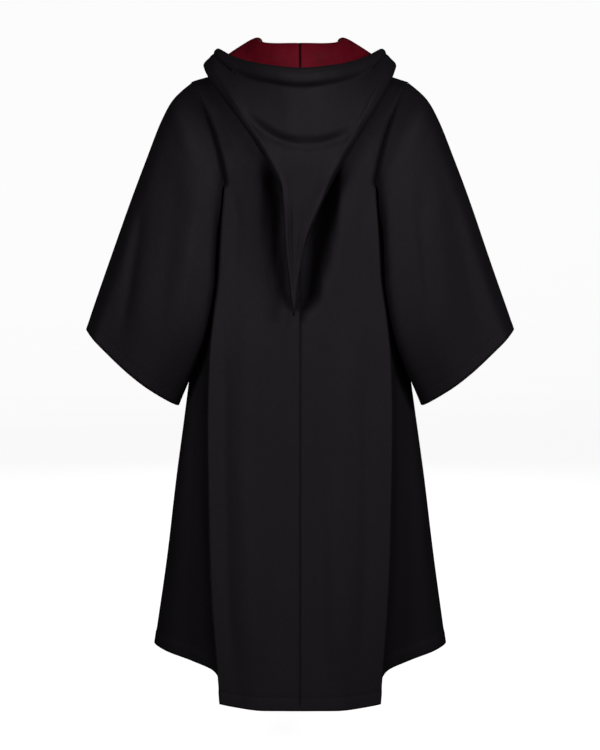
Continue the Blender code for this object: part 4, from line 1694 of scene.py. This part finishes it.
@dataclass
class Workroom:
    """Makes pieces of cloth and parents them to the root body's empty."""

    cloth: bpy.types.Material
    lining: bpy.types.Material
    stitching: Stitching

    def piece(self, node: str, sheet: Sheet, shell: Shell, slot: Slot, cut: Cut) -> None:
        """Makes one piece of cloth in the place of its CAD node.

        Args:
            node: the CAD node that it stands for.
            sheet: its middle surface.
            shell: its thickness and hems.
            slot: the record's material slot.
            cut: its size when flat.
        """
        name = node + "_cloth"
        mesh = shell.mesh(name, sheet)
        mesh.materials.append(self.cloth if slot is Slot.CLOTH else self.lining)
        made = placed(name, mesh)
        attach(made, "root")
        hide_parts(node)
        lines = shell.seams(sheet)
        trims = [self.stitching.sew(node + "_stitches", lines)] if lines else []
        log.info("%s: %d faces, cut %.3f by %.3f m", name, len(mesh.polygons), *cut.flat)


@dataclass
class Body:
    """The two back panels and the two front panels."""

    form: BodyForm
    back_cut: Cut
    front_cut: Cut
    back_spacing: float = 0.0038
    front_spacing: float = 0.0056
    thickness: float = 0.0020
    hem: Hem = Hem(0.024)
    back_ripple: Ripple = Ripple(0.0010, seed=11)
    front_ripple: Ripple = Ripple(0.0010, seed=23)
    eased: int = 8

    def join(self, panel: Sheet, side: Side) -> None:
        """Brings a back panel's edge back to the centre seam after the folds are laid in.

        Args:
            panel: the panel, which is changed.
            side: the side it is on.
        """
        off = side.value * self.form.seam - panel.points[0, :, 0]
        for column in range(self.eased):
            panel.points[column, :, 0] += off * (1.0 - column / self.eased)

    def build(self, room: Workroom) -> None:
        """Makes the four panels.

        Args:
            room: the workroom that makes them.
        """
        back, _, armhole = self.form.sheets(self.back_spacing)
        front = self.form.sheets(self.front_spacing)[1]
        shell = Shell(self.thickness, start_hem=self.hem)
        for side in Side:
            seam = SeamDent(side.laid(armhole))
            panel = seam.drawn_in(back.on(side).folded((*BACK_FOLDS, self.back_ripple)))
            self.join(panel, side)
            room.piece(side.node("back"), panel, shell, Slot.CLOTH, self.back_cut)
            panel = seam.drawn_in(front.on(side).folded((*FRONT_FOLDS, self.front_ripple)))
            room.piece(side.node("front"), panel, shell, Slot.CLOTH, self.front_cut)


@dataclass
class Sleeves:
    """The two wide bell sleeves."""

    body: BodyForm
    form: SleeveForm
    cut: Cut
    spacing: float = 0.0045
    thickness: float = 0.0020
    hem: Hem = Hem(0.022)
    ripples: tuple[Ripple, Ripple] = (Ripple(0.0013, seed=31), Ripple(0.0013, seed=37))
    held: float = 0.2

    def build(self, room: Workroom) -> None:
        """Makes both sleeves.

        Args:
            room: the workroom that makes them.
        """
        armhole = self.body.sheets(self.spacing, clear=False)[2]
        left = self.form.sheet(armhole, self.spacing)
        free = smooth(np.linspace(0.0, 1.0 / self.held, left.points.shape[1]))[None, :]
        shell = Shell(self.thickness, end_hem=self.hem)
        for side, ripple in zip(Side, self.ripples):
            sleeve = left.on(side).folded((*SLEEVE_FOLDS, ripple), free)
            sleeve = SeamDent(side.laid(armhole)).drawn_in(sleeve)
            room.piece(side.node("sleeve"), sleeve, shell, Slot.CLOTH, self.cut)


@dataclass
class Hood:
    """The hood with its long tail, and the two halves of its red lining.

    Attributes:
        form: the hood's form.
        cut: the hood's cut.
        lining_cut: the cut of half its lining.
        spacing: the widest step between points.
        thickness: the hood's cloth.
        lining_thickness: the lining's cloth.
        rim_hem: the hood's hem along its rim.
        ripple: the cloth's uneven softness.
        held: how far from the neck seam the cloth and the lining lie close.
        freed: the length over which the cloth comes free to fold.
        lining_freed: the length over which the lining comes to hang loose.
        rim_run: the length over which the lining tightens towards the rim.
        seam_depth: how deep the lining dents at its seam.
        seam_width: half the width of that dent.
        lining_gap: how far each half of the lining stops from the middle.
    """

    form: HoodForm
    cut: Cut
    lining_cut: Cut
    spacing: float = 0.0062
    thickness: float = 0.0020
    lining_thickness: float = 0.0010
    rim_hem: Hem = Hem(0.006, thicker=0.0)
    ripple: Ripple = Ripple(0.0009, longest=0.20, shortest=0.05, upright=1.6, seed=41)
    held: float = 0.05
    freed: float = 0.10
    lining_freed: float = 0.06
    rim_run: float = 0.04
    seam_depth: float = 0.0004
    seam_width: float = 0.0040
    lining_gap: float = 0.0006

    def folded(self, sheet: Sheet) -> Sheet:
        """Returns the hood's cloth with its folds, which leave the neck seam as it is."""
        free = smooth((sheet.lengths()[1] - self.held) / self.freed)
        return sheet.folded((*HOOD_FOLDS, self.ripple), free)

    def lining(self, folded: Sheet) -> Sheet:
        """Moves the hood's surface to where the lining lies.

        Args:
            folded: the hood's middle surface, as deep as the lining.

        Returns:
            The lining's middle surface, facing into the hood, with its folds.
        """
        along = folded.lengths()[1]
        left = smooth((along[:, -1:] - along) / self.rim_run)
        loose = (smooth((along - self.held) / self.lining_freed)
                 * mix(self.form.rim_loose, 1.0, left))
        moved = folded.lifted(-mix(self.form.lining_offset, self.form.lining_loose, loose))
        return Sheet(moved.points[:, 1:-1], -moved.outward).folded(LINING_FOLDS)

    def build(self, room: Workroom) -> None:
        """Makes the hood and its lining.

        Args:
            room: the workroom that makes them.
        """
        outer = self.folded(self.form.sheet(self.spacing))
        shell = Shell(self.thickness, end_hem=self.rim_hem)
        room.piece("hood", outer, shell, Slot.CLOTH, self.cut)
        whole = self.lining(self.folded(self.form.sheet(self.spacing, lining=True)))
        middle = whole.points.shape[0] // 2
        for side, columns, edge in ((Side.LEFT, slice(middle, None), 0),
                                    (Side.RIGHT, slice(None, middle + 1), -1)):
            half = replace(whole, points=whole.points[columns])
            half = half.lifted(-self.seam_depth * half.beside_edge(edge, self.seam_width))
            half.points[edge, :, 0] = side.value * self.lining_gap
            room.piece(side.node("hood_lining"), half, Shell(self.lining_thickness),
                       Slot.LINING, self.lining_cut)


# ---------------------------------------------------------------- the studio
class Lamp(NamedTuple):
    """A soft square studio light: its name, place, aim, width and watts."""

    name: str
    place: Triple
    aim: Triple
    size: float
    power: float


@dataclass
class Studio:
    """The pale floor and backdrop, the lights and the camera."""

    floor_z: float = -1.42
    flat_radius: float = 5.0
    bend: float = 1.6
    bend_steps: int = 12
    top_z: float = 6.0
    segments: int = 72
    sky_strength: float = 0.012
    camera_place: Triple = (0.0, 3.6, -0.302)
    lens: float = 84.0
    sensor: float = 36.0
    horizon: float = 171.0
    focal_pixels: float = 1750.0
    lamps: tuple[Lamp, ...] = (
        Lamp("left", (1.2, 2.8, 0.4), (0.0, 0.1, -0.45), 0.8, 24.5),
        Lamp("right", (-2.0, 2.2, 0.4), (0.0, 0.1, -0.45), 0.8, 21.5),
        Lamp("near", (-0.3, 1.4, 0.4), (0.0, 0.1, -0.35), 0.5, 2.8),
        Lamp("low_left", (1.4, 2.8, -0.9), (0.0, 0.1, -0.6), 0.8, 2.3),
        Lamp("other_side", (0.0, -3.4, 0.5), (0.0, 0.0, -0.5), 0.8, 14.0),
    )

    @staticmethod
    def aimed(name: str, data: bpy.types.ID, place: Triple, way: Vector) -> bpy.types.Object:
        """Puts a lamp or a camera in its place.

        Args:
            name: its name.
            data: the lamp or the camera.
            place: where it stands.
            way: the way it points.

        Returns:
            The object.
        """
        made = placed(name, data)
        made.location = place
        made.rotation_euler = way.to_track_quat("-Z", "Y").to_euler()
        return made

    def backdrop(self) -> None:
        """Makes the round floor that curves up into a wall all round the robe."""
        angles = [math.pi / 2 * i / self.bend_steps for i in range(self.bend_steps + 1)]
        profile = [(self.flat_radius + self.bend * math.sin(angle),
                    self.floor_z + self.bend * (1.0 - math.cos(angle))) for angle in angles]
        profile.append((self.flat_radius + self.bend, self.top_z))
        turns = [2.0 * math.pi * i / self.segments for i in range(self.segments)]
        points = [(radius * math.cos(turn), radius * math.sin(turn), z)
                  for radius, z in profile for turn in turns]
        faces = [tuple(range(self.segments))]
        for ring, i in np.ndindex(len(profile) - 1, self.segments):
            j = (i + 1) % self.segments
            low, high = ring * self.segments, (ring + 1) * self.segments
            faces.append((low + i, low + j, high + j, high + i))
        mesh = bpy.data.meshes.new("studio_floor")
        mesh.from_pydata(points, [], faces)
        mesh.materials.append(StudioPaper().material())
        floor = placed("studio_floor", mesh)
        floor.visible_diffuse = False
        floor.visible_glossy = False
        floor.visible_shadow = False

    def light(self) -> None:
        """Hangs the lamps and sets the sky."""
        world = bpy.data.worlds.new("studio")
        world.use_nodes = True
        sky = world.node_tree.nodes["Background"]
        sky.inputs["Color"].default_value = (1.0, 1.0, 1.0, 1.0)
        sky.inputs["Strength"].default_value = self.sky_strength
        bpy.context.scene.world = world
        bpy.context.scene.view_settings.view_transform = "Standard"
        for lamp in self.lamps:
            data = bpy.data.lights.new(lamp.name, "AREA")
            data.shape = "SQUARE"
            data.size = lamp.size
            data.energy = lamp.power
            self.aimed(lamp.name, data, lamp.place, Vector(lamp.aim) - Vector(lamp.place))

    def camera(self) -> None:
        """Sets the camera at the photograph's viewing angle, behind the wearer."""
        data = bpy.data.cameras.new("camera")
        data.lens = self.lens
        data.sensor_width = self.sensor
        data.dof.use_dof = False
        pitch = math.atan(self.horizon / self.focal_pixels)
        way = Vector((0.0, -math.cos(pitch), -math.sin(pitch)))
        bpy.context.scene.camera = self.aimed("camera", data, self.camera_place, way)

    def build(self) -> None:
        """Sets up the whole studio."""
        self.backdrop()
        self.light()
        self.camera()
        log.info("studio ready")


def main() -> None:
    """Builds the studio and the robe."""
    logging.basicConfig(level=logging.INFO, format="%(name)s: %(message)s")
    Studio().build()
    room = Workroom(CrepeCloth().material(), SatinLining().material(),
                    Stitching(Thread().material()))
    form = BodyForm()
    Body(form, Cut((0.235, 1.36), 0.24), Cut((0.50, 1.34), 0.56)).build(room)
    Sleeves(form, SleeveForm(), Cut((0.60, 0.56), 0.30)).build(room)
    Hood(HoodForm(form), Cut((0.80, 0.80), 0.29), Cut((0.40, 0.60), 0.123)).build(room)


if __name__ == "__main__":
    main()
